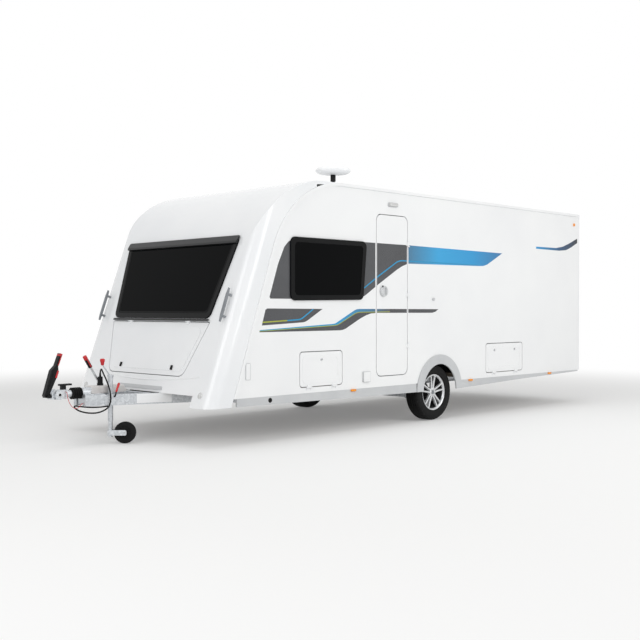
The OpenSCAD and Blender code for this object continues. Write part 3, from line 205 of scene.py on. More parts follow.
mats = {
    # gelcoat sprayed in a mould: wet-looking white with a faint waviness under a clear coat
    "shell": surface("white_gelcoat_glass_fibre", "#EDEFF1", "#F4F5F6", (0.14, 0.22), 6.0, 900.0, 0.02, coat=0.35,
                     coatRough=0.06),
    # coil-coated sheet: flat, slightly cooler white with broad soft reflections
    "sheet": surface("white_coil_coated_aluminium_sheet", "#F0F1F2", "#F6F7F7", (0.16, 0.24), 9.0, 1200.0, 0.02,
                     coat=0.25, coatRough=0.08),
    # injection-moulded ABS: pale grey with a fine spark-eroded texture that dulls the gloss
    "trim": surface("light_grey_injection_moulded_plastic", "#C3C5C7", "#CED0D1", (0.34, 0.46), 1.5, 400.0, 0.06),
    # moulded polypropylene: near black, satin, with a pebbled grain
    "black": surface("black_moulded_polypropylene", "#08080A", "#101112", (0.4, 0.55), 1.2, 120.0, 0.08,
                     specular=0.2),
    # paint behind acrylic: deep black and smooth, so it reads as part of the pane
    "frameBlack": surface("black_gloss_acrylic_edge_band", "#08090A", "#0E0F10", (0.10, 0.18), 3.0, 300.0, 0.02,
                          specular=0.14),
    # satin ABS: lighter than the pane it sits on, so the hood shows as its own strip
    "hood": surface("black_satin_moulded_window_hood", "#151617", "#1E1F21", (0.28, 0.4), 2.0, 300.0, 0.03,
                    specular=0.35),
    # extruded rubber: black and dull, no clear reflections
    "rubber": surface("black_extruded_rubber", "#0A0A0A", "#121212", (0.6, 0.75), 1.5, 80.0, 0.08, specular=0.2),
    # tyre rubber with carbon: dull dark grey where it is dusty, grain of about 2 mm
    "tyre": surface("black_carbon_tyre_rubber", "#0C0C0C", "#151515", (0.62, 0.8), 2.0, 60.0, 0.15, specular=0.2),
    # cast alloy under silver lacquer: fine metallic mottle with a soft clear-coat shine
    "alloy": surface("silver_lacquered_cast_alloy", "#CFD1D3", "#E2E3E4", (0.24, 0.36), 0.8, 90.0, 0.03, metal=0.5,
                     coat=0.4),
    # the same casting inside the barrel, coloured near black as painted shade between the spokes
    "alloyPaintedShade": surface("cast_alloy_barrel_painted_shade", "#232425", "#303133", (0.5, 0.65), 1.5, 40.0, 0.06, metal=0.3,
                          specular=0.3),
    # sand-cast iron: dark grey, pitted and without shine, and made darker still as painted shade between the spokes
    "castIron": surface("cast_iron_drum_with_painted_shade", "#1E1E1F", "#2B2A29", (0.6, 0.75), 1.5, 30.0, 0.2, metal=0.4,
                        specular=0.3),
    # hot-dipped zinc: patchwork of crystals of about 14 mm, some bright and some dull
    "steel": galvanised("hot_dip_galvanised_steel", "#B2B6BA", "#DADDE0", 14.0),
    # bright zinc plate: mirror-like but a little cloudy
    "chrome": surface("bright_zinc_plated_steel", "#B4B6B8", "#D8DADB", (0.16, 0.28), 2.0, 50.0, 0.03, metal=1.0),
    # silver paint on moulded plastic: metallic flecks, softer than real metal
    "cover": surface("silver_painted_moulded_cover", "#D2CFCD", "#DCD9D7", (0.3, 0.42), 1.5, 150.0, 0.05, metal=0.1),
    # through-dyed plastic: even mid grey with a matt moulded grain
    "grey": surface("mid_grey_moulded_plastic", "#7B7F84", "#8B8F93", (0.36, 0.5), 1.4, 200.0, 0.07),
    # moulded nylon: saturated red with a waxy sheen
    "red": surface("red_moulded_nylon", "#B3161B", "#CC2127", (0.28, 0.4), 1.5, 60.0, 0.05),
    # printed vinyl foil: flat even grey, glossier than the sheet under it
    "dark": surface("dark_grey_gloss_printed_foil", "#444548", "#4D4E51", (0.22, 0.34), 2.0, 500.0, 0.01),
    # printed fade: the ink runs from blue to grey along the side
    "wedge": foil("grey_to_blue_printed_foil", [(0, "#2E73A8"), (0.3, "#1E97D2"), (0.62, "#2FA3DA"), (1, "#4D5964")],
                  -1.29, 0.75),
    # printed vinyl: clear bright blue with a slight fade
    "blue": foil("blue_printed_foil", [(0, "#1E86B4"), (1, "#1796C8")], -3.1, 2.7),
    # printed fade: grey at the tail, blue towards the nose
    "swooshBlue": foil("blue_to_grey_printed_foil", [(0, "#58595C"), (0.22, "#3E7FA6"), (0.4, "#2D97CC"),
                                                     (1, "#2B9FC4")], 0.8, 2.66),
    # printed vinyl: yellow-green keyline
    "lime": foil("lime_printed_foil", [(0, "#A7A63C"), (1, "#A9B23A")], -3.1, 2.7),
    # printed fade: black tail, blue tip
    "tick": foil("blue_to_black_printed_foil", [(0, "#17181A"), (0.45, "#1B4E78"), (1, "#1E97D2")], -3.06, -2.05),
    # smoked cast acrylic: almost black from outside, with only a weak surface shine
    "pane": tinted("smoked_acrylic_pane", "#040506", 0.1, 0.03, specular=0.012),
    # tinted acrylic, vacuum formed: grey, cloudy and half see-through
    "roofPane": tinted("tinted_acrylic_rooflight", "#5E6266", 0.5, 0.12),
    # moulded acrylic lens: deep orange with fine prisms
    "amber": tinted("amber_ribbed_lens", "#FF9C1A", 0.1, 0.12, 4.0),
    # moulded acrylic lens: deep red with prisms of about 5 mm
    "redLens": tinted("red_ribbed_lens", "#A8090C", 0.3, 0.12, 5.0),
    # moulded acrylic lens: milky because of its prisms
    "clearLens": tinted("clear_ribbed_lens", "#F3F3F2", 0.4, 0.1, 5.0),
    # printed laminate: oak streaks along the grain under a satin film
    "wood": woodGrain("oak_effect_laminate", "#8A6A48", "#A9875F", 30.0),
    # printed vinyl plank: grey-brown streaks
    "floor": woodGrain("plank_effect_vinyl_floor", "#6F655A", "#8B8072", 40.0),
    # woven cloth: matt, with a thread grain drawn at 1.2 mm so that it shows, and a soft rim of sheen
    "cloth": surface("woven_upholstery_cloth", "#6D6F72", "#84868A", (0.8, 0.92), 1.2, 70.0, 0.5, sheen=0.25),
}
nodeMats = {
    "wall_left": "sheet", "wall_right": "sheet", "roof_panel": "shell", "front_panel": "shell", "rear_panel": "shell",
    "floor_panel": "floor", "roof_rails": "sheet", "wheel_boxes": "black", "lower_trim": "trim", "arch_trims": "trim",
    "marker_lamps": "amber", "windows": "pane", "window_trim": "hood", "rooflights": "roofPane", "locker_box": "wood",
    "furniture": "wood", "cushions": "cloth", "opening_frames": "grey", "fixed_hinges": "shell", "door": "sheet",
    "door_handle": "trim", "hatch_front_left": "sheet", "hatch_rear_left": "sheet", "hatch_rear_right": "sheet",
    "gas_lid": "shell", "locks": "black", "chassis_frame": "steel", "drawbar": "steel", "axle": "steel",
    "brake_gear": "steel", "overrun_housing": "steel", "overrun_cover": "cover", "bellows": "rubber",
    "coupling_head": "steel", "coupling_levers": "black", "handbrake": "chrome", "plug_holder": "black",
    "tow_cable": "rubber", "breakaway_cable": "red", "jockey_clamp": "steel", "jockey_tube": "steel",
    "jockey_fork": "steel", "jockey_wheel": "tyre", "tyre_left": "tyre", "tyre_right": "tyre", "rim_left": "alloy",
    "rim_right": "alloy", "leg_front_left": "steel", "leg_front_right": "steel", "leg_rear_left": "steel",
    "leg_rear_right": "steel", "leg_brackets": "steel", "aerial_mast": "black", "aerial_head": "shell",
    "grab_handles": "grey", "fairing": "shell", "rear_lamps": "redLens", "fridge_vents": "shell", "fittings": "trim",
}
for name, obj in nodes.items():
    obj.data.materials.clear()
    obj.data.materials.append(mats[nodeMats[name]])
print("materials done")


# mesh helpers
def soften(obj, width, angle):
    mod = obj.modifiers.new("edge", "BEVEL")
    mod.width, mod.segments, mod.limit_method, mod.angle_limit = width, 2, "ANGLE", math.radians(angle)


def addMesh(name, verts, faces, mat, bodyName, bevel=0.0, smooth=False):
    mesh = bpy.data.meshes.new(name)
    mesh.from_pydata([tuple(v) for v in verts], [], faces)
    mesh.validate()
    work = bmesh.new()
    work.from_mesh(mesh)
    bmesh.ops.recalc_face_normals(work, faces=work.faces)
    work.to_mesh(mesh)
    work.free()
    for poly in mesh.polygons:
        poly.use_smooth = smooth
    obj = bpy.data.objects.new(name, mesh)
    bpy.context.scene.collection.objects.link(obj)
    mesh.materials.append(mats[mat])
    if bevel:
        soften(obj, bevel, 40)
    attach(obj, bodyName)
    return obj


def arcCorner(a, p, b, r, steps):
    u, v = (a - p).normalized(), (b - p).normalized()
    half = u.angle(v) / 2
    mid = p + (u + v).normalized() * (r / math.sin(half))
    start, end = p + u * (r / math.tan(half)) - mid, p + v * (r / math.tan(half)) - mid
    first = math.atan2(start.y, start.x)
    turn = (math.atan2(end.y, end.x) - first + math.pi) % (2 * math.pi) - math.pi
    return [mid + Vector((math.cos(first + turn * i / steps), math.sin(first + turn * i / steps))) * r
            for i in range(steps + 1)]


def roundedOutline(points, r, steps=6):
    pts = [Vector(p) for p in points]
    count = len(pts)
    return [q for k in range(count) for q in arcCorner(pts[k - 1], pts[k], pts[(k + 1) % count], r, steps)]


def grown(points, d):
    pts = [Vector(p) for p in points]
    result = []
    for k, p in enumerate(pts):
        u, v = (pts[k - 1] - p).normalized(), (pts[(k + 1) % len(pts)] - p).normalized()
        result.append(p - (u + v).normalized() * (d / math.sin(u.angle(v) / 2)))
    return result


def rectangle(x0, z0, x1, z1):
    return [(x0, z0), (x1, z0), (x1, z1), (x0, z1)]


# a plate from an outline, where put(a, b, out) gives the place
def plate(name, outline, put, low, high, mat, bodyName, bevel=0.0, slot=None):
    count = len(outline)
    verts = [put(p[0], p[1], low) for p in outline] + [put(p[0], p[1], high) for p in outline]
    faces = [list(range(count)), list(range(count, 2 * count))]
    faces += [[k, (k + 1) % count, count + (k + 1) % count, count + k] for k in range(count)]
    return addMesh(name, verts, faces, mat, bodyName, bevel)


# a band between two outlines with the same number of points
def band(name, outer, inner, put, low, high, mat, bodyName, bevel=0.0, slot=None):
    count = len(outer)
    verts = [put(p[0], p[1], h) for loop in (outer, inner) for h in (low, high) for p in loop]
    faces = []
    for k in range(count):
        n = (k + 1) % count
        faces += [[k, n, count + n, count + k], [2 * count + k, 3 * count + k, 3 * count + n, 2 * count + n],
                  [count + k, count + n, 3 * count + n, 3 * count + k], [k, 2 * count + k, 2 * count + n, n]]
    return addMesh(name, verts, faces, mat, bodyName, bevel)


# a turned piece: profile of (radius, along) about a line through centre; a closed profile makes a ring
def lathe(name, profile, centre, axis, mat, bodyName, steps=48, closed=False, notch=None):
    turn = Vector(axis).to_track_quat("Z", "Y")
    verts, faces, count = [], [], len(profile)
    for i in range(steps):
        a = 2 * math.pi * i / steps
        for k, (r, h) in enumerate(profile):
            rr = r - (notch(i, k) if notch else 0.0)
            verts.append(Vector(centre) + turn @ Vector((rr * math.cos(a), rr * math.sin(a), h)))
    for i in range(steps):
        n = (i + 1) % steps
        for k in range(count if closed else count - 1):
            m = (k + 1) % count
            faces.append([i * count + k, n * count + k, n * count + m, i * count + m])
    if not closed:
        faces += [[i * count + k for i in range(steps)] for k in (0, count - 1) if profile[k][0] > 1e-6]
    obj = addMesh(name, verts, faces, mat, bodyName, 0.0, True)
    obj.modifiers.new("weld", "WELD").merge_threshold = 0.00002
    obj.modifiers.new("split", "EDGE_SPLIT").split_angle = math.radians(35)
    return obj


# a round bar along points
def bar(name, points, r, mat, bodyName, sides=12, radii=None, ends=None):
    pts = [Vector(p) for p in points]
    verts, faces = [], []
    up = None
    for k, p in enumerate(pts):
        d = (pts[min(k + 1, len(pts) - 1)] - pts[max(k - 1, 0)]).normalized()
        if ends and k in (0, len(pts) - 1):
            d = ends[0] if k == 0 else ends[1]
        if up is None:
            up = d.orthogonal().normalized()
        up = (up - d * up.dot(d)).normalized()
        w = d.cross(up)
        rr = radii[k] if radii else r
        verts += [p + (up * math.cos(2 * math.pi * j / sides) + w * math.sin(2 * math.pi * j / sides)) * rr
                  for j in range(sides)]
    for k in range(len(pts) - 1):
        for j in range(sides):
            n = (j + 1) % sides
            faces.append([k * sides + j, k * sides + n, (k + 1) * sides + n, (k + 1) * sides + j])
    faces += [list(range(sides)), [(len(pts) - 1) * sides + j for j in range(sides)]]
    obj = addMesh(name, verts, faces, mat, bodyName, 0.0, True)
    obj.modifiers.new("split", "EDGE_SPLIT").split_angle = math.radians(40)
    return obj


def smoothPath(points, steps):
    pts = [Vector(p) for p in points]
    last = len(pts) - 1
    path = []
    for k in range(last):
        a, b, c, d = pts[max(k - 1, 0)], pts[k], pts[k + 1], pts[min(k + 2, last)]
        for i in range(steps):
            t = i / steps
            path.append((2 * b + (c - a) * t + (2 * a - 5 * b + 4 * c - d) * t * t + (3 * b - a - 3 * c + d) * t ** 3) / 2)
    return path + [pts[last]]


# the two cables, laid on the drawing's routes
cables = {
    "tow_cable": {"r": 0.007, "sides": 14, "mat": "rubber", "slot": "black_rubber", "stiff": "stiff", "route": [
        (3.660, 0.000, 0.6163), (3.660, 0.000, 0.628), (3.661, 0.0026, 0.6475), (3.6652, 0.013, 0.6666),
        (3.6711, 0.0279, 0.680), (3.6784, 0.0461, 0.6871), (3.6861, 0.0654, 0.6871), (3.6934, 0.084, 0.680),
        (3.6995, 0.106, 0.664), (3.702, 0.132, 0.637), (3.6985, 0.158, 0.600), (3.692, 0.180, 0.554),
        (3.685, 0.196, 0.506), (3.680, 0.204, 0.455), (3.684, 0.208, 0.400), (3.706, 0.205, 0.350),
        (3.750, 0.190, 0.318), (3.810, 0.160, 0.300), (3.880, 0.115, 0.304), (3.930, 0.065, 0.324),
        (3.940, 0.015, 0.348), (3.910, -0.025, 0.358), (3.840, -0.045, 0.346), (3.740, -0.050, 0.332),
        (3.620, -0.050, 0.326), (3.500, -0.050, 0.336), (3.410, -0.050, 0.364), (3.362, -0.050, 0.376),
        (3.3403, -0.050, 0.376)]},
    "breakaway_cable": {"r": 0.0025, "sides": 10, "mat": "red", "slot": "red_plastic", "stiff": "medium", "route": [
        (4.050, 0.0453, 0.500), (4.050, 0.056, 0.500), (4.048, 0.066, 0.484), (4.042, 0.068, 0.450),
        (4.0354, 0.0672, 0.4279), (4.026, 0.066, 0.405), (4.0131, 0.065, 0.3834), (3.998, 0.064, 0.365),
        (3.9819, 0.0628, 0.3528), (3.965, 0.062, 0.346), (3.9468, 0.0622, 0.3456), (3.930, 0.063, 0.350),
        (3.908, 0.065, 0.370), (3.894, 0.066, 0.384), (3.8803, 0.066, 0.384)]},
}
sleeve = {"r": 0.0125, "taper": 0.0047, "sides": 16, "plug": 9, "drawbar": 8}
for node, cable in cables.items():
    route = [at(*p) for p in cable["route"]]
    cablePath = smoothPath(route, 4)
    squareEnds = ((route[1] - route[0]).normalized(), (route[-1] - route[-2]).normalized())
    cableObj = bar(node + "_sheath", cablePath, cable["r"], cable["mat"], "caravan", cable["sides"],
                   ends=squareEnds)
    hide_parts(node)
    if node == "tow_cable":
        # tapered sleeves where the cable leaves the plug and enters the drawbar
        for end, part in (("plug", cablePath[:sleeve["plug"]]), ("drawbar", cablePath[:-sleeve["drawbar"]:-1])):
            taper = [sleeve["r"] - sleeve["taper"] * i / (len(part) - 1) for i in range(len(part))]
            bar("cable_sleeve_" + end, part, 0.0, "rubber", "caravan", sleeve["sides"], radii=taper)

# windows: a black edge band on each pane
glass = {"pane": 0.012, "proud": 0.004, "sunk": 0.001, "bandWidth": 0.05, "innerShare": 0.7, "bevel": 0.0015,
         "r": 0.06, "noseR": 0.07,
         "nose": [(0.772, -0.77), (0.772, 0.77), (1.6, 0.89), (1.6, -0.89)],
         "side": [(1.18, 1.94), (1.235, 1.34), (2.264, 1.327), (2.264, 1.94)],
         "kitchen": [(-0.42, 1.9), (-0.42, 1.34), (0.48, 1.34), (0.48, 1.9)],
         "bed": [(-2.64, 1.9), (-2.64, 1.38), (-1.96, 1.38), (-1.96, 1.9)],
         "rear": [(-0.62, 1.3), (0.62, 1.3), (0.62, 1.86), (-0.62, 1.86)]}


def leftPut(x, z, out):
    return onSide(x, z, out, 1)


def rightPut(x, z, out):
    return onSide(x, z, out, -1)


def windowBand(name, points, r, put):
    inner = grown(points, -glass["bandWidth"])
    band(name, roundedOutline(points, r), roundedOutline(inner, r * glass["innerShare"]), put,
         glass["pane"] - glass["sunk"], glass["pane"] + glass["proud"], "frameBlack", "caravan", glass["bevel"],
         "black_plastic")


for name, shape, r, way in (("front", "nose", "noseR", onNose), ("left", "side", "r", leftPut),
                            ("right_front", "side", "r", rightPut), ("right_kitchen", "kitchen", "r", rightPut),
                            ("right_rear", "bed", "r", rightPut), ("rear", "rear", "r", onRear)):
    windowBand("window_band_" + name, glass[shape], glass[r], way)
print("window bands done")

# side stripes, cut where the door is; left plain, with no words
stripes = {
    "lift": 0.0006, "doorX": (0.513, 1.014), "doorSlit": 0.02, "doorEdge": 0.006, "base": 0.0001, "least": 0.004,
    "dark": [(2.518, 1.344), (2.529, 1.36), (2.422, 1.667), (2.34, 1.835), (2.29, 1.885), (2.2, 1.936), (0.5, 1.936),
             (0.5, 1.737), (0.6, 1.705), (0.683, 1.667), (0.99, 1.502), (1.176, 1.395), (1.23, 1.37), (1.281, 1.361),
             (1.9, 1.344)],
    "wedge": [(0.5, 1.936), (-1.29, 1.92), (-1.1, 1.83), (-0.98, 1.775), (-0.9, 1.755), (-0.8, 1.752), (0.5, 1.737)],
    "edge": [(1.34, 1.395), (1.264, 1.438), (0.99, 1.596), (0.684, 1.757), (0.63, 1.769), (0.583, 1.772),
             (-0.8, 1.766), (-0.8, 1.754), (0.583, 1.759), (0.63, 1.756), (0.684, 1.742), (0.99, 1.58),
             (1.264, 1.424), (1.34, 1.381)],
    "panel": [(2.554, 1.252), (1.82, 1.247), (2.027, 1.136), (2.06, 1.123), (2.097, 1.117), (2.626, 1.093),
              (2.58, 1.24)],
    "panelLime": [(2.62, 1.128), (2.617, 1.117), (2.3, 1.131), (2.3, 1.142)],
    "panelBlue": [(2.3, 1.142), (2.3, 1.131), (2.151, 1.138), (2.12, 1.144), (2.097, 1.152), (1.942, 1.243),
                  (1.962, 1.246), (2.1, 1.165), (2.12, 1.156), (2.151, 1.15)],
    "swooshBlue": [(2.648, 1.051), (1.672, 1.098), (1.645, 1.101), (1.623, 1.109), (1.351, 1.235), (1.32, 1.244),
                   (1.281, 1.247), (0.8, 1.247), (0.8, 1.218), (1.264, 1.215), (1.31, 1.211), (1.351, 1.199),
                   (1.581, 1.098), (1.61, 1.088), (1.656, 1.083), (2.655, 1.042)],
    "swooshLime": [(2.655, 1.043), (1.656, 1.085), (1.61, 1.09), (1.581, 1.1), (1.351, 1.201), (1.31, 1.213),
                   (1.264, 1.217), (0.8, 1.22), (0.8, 1.214), (1.264, 1.21), (1.31, 1.206), (1.351, 1.194),
                   (1.581, 1.093), (1.61, 1.083), (1.656, 1.078), (2.656, 1.038)],
    "swoosh": [(2.656, 1.04), (1.656, 1.08), (1.61, 1.085), (1.581, 1.095), (1.351, 1.196), (1.31, 1.208),
               (1.264, 1.212), (0.8, 1.216), (0.8, 1.247), (-0.035, 1.244), (0.02, 1.215), (0.074, 1.204),
               (0.99, 1.206), (1.1, 1.2), (1.176, 1.182), (1.264, 1.15), (1.488, 1.047), (1.53, 1.036),
               (1.572, 1.032), (2.655, 1.031)],
    "tick": [(-2.05, 2.037), (-2.525, 2.04), (-2.698, 2.066), (-2.87, 2.12), (-3.06, 2.19), (-3.06, 2.13),
             (-2.9, 2.064), (-2.774, 2.023), (-2.6, 2.008), (-2.046, 2.01)],
}


def clipX(points, limit, keepAbove):
    result = []
    for k, p in enumerate(points):
        q = points[k - 1]
        pin, qin = (p[0] >= limit) == keepAbove, (q[0] >= limit) == keepAbove
        if pin != qin:
            t = (limit - q[0]) / (p[0] - q[0])
            result.append((limit, q[1] + (p[1] - q[1]) * t))
        if pin:
            result.append(p)
    return result


def stripe(name, points, mat, lift):
    x0, x1 = stripes["doorX"]
    gap, edge = stripes["doorSlit"], stripes["doorEdge"]  # a white strip shows on both sides of the door's seam
    pieces = [("rear", clipX(points, x0 - gap, False), "caravan"),
              ("front", clipX(points, x1 + gap, True), "caravan"),
              ("door", clipX(clipX(points, x0 + edge, True), x1 - edge, False), "door")]
    for tag, part, rideOn in pieces:
        if len(part) > 2 and max(p[0] for p in part) - min(p[0] for p in part) > stripes["least"]:
            plate("stripe_%s_%s" % (name, tag), part, leftPut, stripes["base"], lift, mat, rideOn,
                  slot="grey_plastic")


layers = [("dark", "dark", 1.0), ("wedge", "wedge", 1.0), ("edge", "blue", 2.0), ("panel", "dark", 1.0),
          ("panelLime", "lime", 2.0), ("panelBlue", "blue", 2.0), ("swoosh", "dark", 1.0),
          ("swooshBlue", "swooshBlue", 1.5), ("swooshLime", "lime", 2.0), ("tick", "tick", 1.0)]
for name, mat, share in layers:
    stripe(name, stripes[name], mat, stripes["lift"] * share)
print("stripes done")

# soften the edges of the drawn pieces
edges = {0.0014: ["hatch_front_left", "hatch_rear_left", "hatch_rear_right"], 0.0018: ["gas_lid"],
         0.004: ["door", "lower_trim", "arch_trims", "roof_rails", "window_trim", "fittings"],
         0.006: ["overrun_cover", "coupling_levers", "coupling_head", "jockey_wheel"],
         0.003: ["marker_lamps", "rear_lamps", "drawbar", "chassis_frame", "jockey_fork", "locks", "fairing",
                 "grab_handles", "door_handle", "fridge_vents", "jockey_tube", "handbrake", "leg_front_left",
                 "leg_front_right", "leg_rear_left", "leg_rear_right"]}
for width, names in edges.items():
    for name in names:
        soften(nodes[name], width, 50)


# a shallow moulded line, sunk in its panel, that bends up towards its ends
def moulding(name, put, line, steps=24, depth=-0.002, r=0.006):
    path = []
    for i in range(steps + 1):
        share = -1 + 2 * i / steps
        path.append(put(share * line["half"], line["mid"] + (line["end"] - line["mid"]) * share ** 2, depth))
    bar(name, path, r, "shell", "caravan", 10)


# front: moulded lines, a black strip as painted shade in the gap above the fairing, and reflectors
front = {"line": (-0.056, -0.064), "lineR": (0.05, 0.045), "lineOut": (0.011, 0.0145), "lineBevel": 0.001,
         "slot": (0.013, -0.15, 0.035, 0.33), "slotR": 0.009, "slotOut": (-0.0005, 0.0012),
         "crease": {"mid": 0.15, "end": 0.21, "half": 0.86}, "reflectY": 0.94, "reflectUp": 0.04,
         "reflector": [(0.0, 0.007), (0.02, 0.0065), (0.026, 0.005), (0.03, 0.004), (0.03, -0.001)]}
lineOuter, lineInner = [roundedOutline(grown(glass["nose"], d), r) for d, r in zip(front["line"], front["lineR"])]
band("window_moulding", lineOuter, lineInner, onNose, *front["lineOut"], "frameBlack", "caravan", front["lineBevel"],
     "black_plastic")
# black plate that stands for the shade in the gap above the fairing
plate("nose_gap_painted_shade", roundedOutline(rectangle(*front["slot"]), front["slotR"]), onNose, *front["slotOut"], "rubber",
      "caravan", 0.0, "black_rubber")
moulding("nose_crease", lambda y, up, out: onNose(up, y, out), front["crease"])
noseOut = onNose(0, 0, 1) - onNose(0, 0, 0)
for side, tag in sideTags:
    lathe("front_reflector_" + tag, front["reflector"], onNose(front["reflectUp"], side * front["reflectY"]), noseOut,
          "clearLens", "caravan", 32)
print("front done")

# side fittings: hatch locks, flush cover, lamps, grommets, mains socket, door pull
# a hatch has its top edge, side and lock places
hatches = {"hatch_front_left": (0.826, 1, [1.836]), "hatch_rear_left": (0.83, 1, [-1.56, -1.13]),
           "hatch_rear_right": (0.87, -1, [-2.055])}
lock = {"down": 0.075, "barrel": [(0.0, 0.006), (0.012, 0.006), (0.015, 0.0045), (0.016, -0.001)],
        "key": [(0.0, 0.0075), (0.0045, 0.0075), (0.005, 0.005)]}
for name, (top, side, places) in hatches.items():
    for k, x in enumerate(places):
        spot = onSide(x, top - lock["down"], 0.0, side)
        lathe("%s_lock_%d" % (name, k), lock["barrel"], spot, (0, side, 0), "chrome", name, 28)
        lathe("%s_key_%d" % (name, k), lock["key"], spot, (0, side, 0), "black", name, 16)
# each flat piece: its rectangle, corner radius, inner and outer depth, bevel
small = {"cover": ((2.773, 0.598, 2.823, 0.745), 0.008, 0.003, 0.0065, 0.002),
         "lamp": ((0.76 - 0.071, 2.334, 0.76 + 0.071, 2.37), 0.012, 0.0155, 0.024, 0.004),
         "marker": ((-2.985, 2.35, -2.955, 2.385), 0.006, -0.0005, 0.014, 0.003),
         "lid": ((1.179 - 0.05, 0.546 - 0.05, 1.179 + 0.05, 0.546 + 0.05), 0.008, 0.0175 - 0.0005, 0.021, 0.0015),
         "flap": ((1.179 - 0.03, 0.546 - 0.03, 1.179 + 0.03, 0.546 + 0.03), 0.008, 0.021 - 0.0005, 0.0235, 0.0015),
         "paddle": ((0.917, 1.398, 0.95, 1.468), 0.012, 0.017, 0.021, 0.002), "grommet": (2.522, 0.392),
         "doorKey": (0.935, 1.484)}


def smallPlate(name, kind, put, mat, bodyName, slot):
    rect, r, low, high, bevel = small[kind]
    plate(name, roundedOutline(rectangle(*rect), r), put, low, high, mat, bodyName, bevel, slot)


smallPlate("flush_cover", "cover", leftPut, "sheet", "caravan", "white_shell")
smallPlate("door_lamp_lens", "lamp", leftPut, "clearLens", "caravan", "white_shell")
for side, tag in sideTags:
    smallPlate("outline_lamp_" + tag, "marker", leftPut if side > 0 else rightPut, "amber", "caravan", "amber_lens")
    lathe("skirt_grommet_" + tag, [(0.0, 0.001), (0.014, 0.001), (0.016, 0.005), (0.021, 0.005), (0.023, 0.001),
                                   (0.023, -0.001)],
          onSide(small["grommet"][0], small["grommet"][1], 0.0, side), (0, side, 0), "rubber", "caravan", 28)
for tag in ("lid", "flap"):
    smallPlate("mains_socket_" + tag, tag, leftPut, "sheet", "caravan", "white_shell")
smallPlate("door_pull_paddle", "paddle", leftPut, "chrome", "door", "grey_trim")
lathe("door_key_barrel", [(0.0, 0.022), (0.008, 0.022), (0.01, 0.02), (0.01, 0.017)], onSide(*small["doorKey"]),
      (0, 1, 0), "black", "door", 20)
print("side fittings done")

# rear: amber and clear sections of the lamps, high lamp, bare plate in its holder, moulded line
rear = {"lampY": 0.93, "half": 0.058, "lampR": 0.012, "bevel": 0.003, "amber": (0.86, 0.945), "clear": (0.635, 0.7),
        "out": (0.0275, 0.033), "sunk": 0.0005, "high": (-0.16, 2.29, 0.16, 2.325), "highOut": 0.014,
        "plate": (-0.27, 0.655, 0.27, 0.78), "plateR": 0.01, "plateOut": 0.0055, "holder": 0.012, "holderR": 0.018,
        "holderOut": 0.008, "holderBevel": 0.002, "crease": {"mid": 1.12, "end": 1.15, "half": 0.96}}
for side, tag in sideTags:
    for section, mat in (("amber", "amber"), ("clear", "clearLens")):
        z0, z1 = rear[section]
        outline = roundedOutline(rectangle(side * rear["lampY"] - rear["half"], z0,
                                           side * rear["lampY"] + rear["half"], z1), rear["lampR"])
        plate("rear_lamp_%s_%s" % (section, tag), outline, onRear, rear["out"][0], rear["out"][1], mat, "caravan",
              rear["bevel"], "amber_lens")
plate("rear_high_lamp", roundedOutline(rectangle(*rear["high"]), rear["lampR"]), onRear, -rear["sunk"],
      rear["highOut"], "redLens", "caravan", rear["bevel"], "amber_lens")
plateEdge = rectangle(*rear["plate"])
bareOutline = roundedOutline(plateEdge, rear["plateR"])
band("rear_plate_holder", roundedOutline(grown(plateEdge, rear["holder"]), rear["holderR"]), bareOutline, onRear,
     -rear["sunk"], rear["holderOut"], "black", "caravan", rear["holderBevel"], "black_plastic")
plate("rear_plate_bare", bareOutline, onRear, -rear["sunk"], rear["plateOut"], "sheet", "caravan", 0.0, "white_shell")
moulding("rear_crease", onRear, rear["crease"])
print("rear done")

# road wheels: moulded tyre with grooves and a cast alloy rim with paired spokes
wheel = {"z": 0.312, "mid": 0.986, "steps": 180, "tread": 0.3117, "grooves": (-0.046, -0.016, 0.016, 0.046),
         "grooveW": 0.0042, "grooveD": 0.0075, "grooveFoot": 0.7, "notch": 0.005, "notchFrom": 0.049, "notchTo": 0.07,
         "notchEvery": 4, "spokes": 5, "bolts": 5, "boltR": 0.034}


def tyreProfile():
    side = [(0.2005, -0.074), (0.203, -0.0815), (0.214, -0.0845), (0.217, -0.0865), (0.22, -0.0865), (0.226, -0.0855),
            (0.243, -0.0892), (0.26, -0.0898), (0.276, -0.0885), (0.288, -0.0845), (0.29, -0.0855), (0.293, -0.0845),
            (0.301, -0.0765), (0.3065, -0.0685), (0.3095, -0.0605)]
    top, deep = wheel["tread"], wheel["tread"] - wheel["grooveD"]
    w, foot = wheel["grooveW"], wheel["grooveW"] * wheel["grooveFoot"]
    tread = [(0.311, -0.057)]
    for g in wheel["grooves"]:
        tread += [(top, g - w), (deep, g - foot), (deep, g + foot), (top, g + w)]
    tread.append((0.311, 0.057))
    return side + tread + [(r, -h) for r, h in reversed(side)]


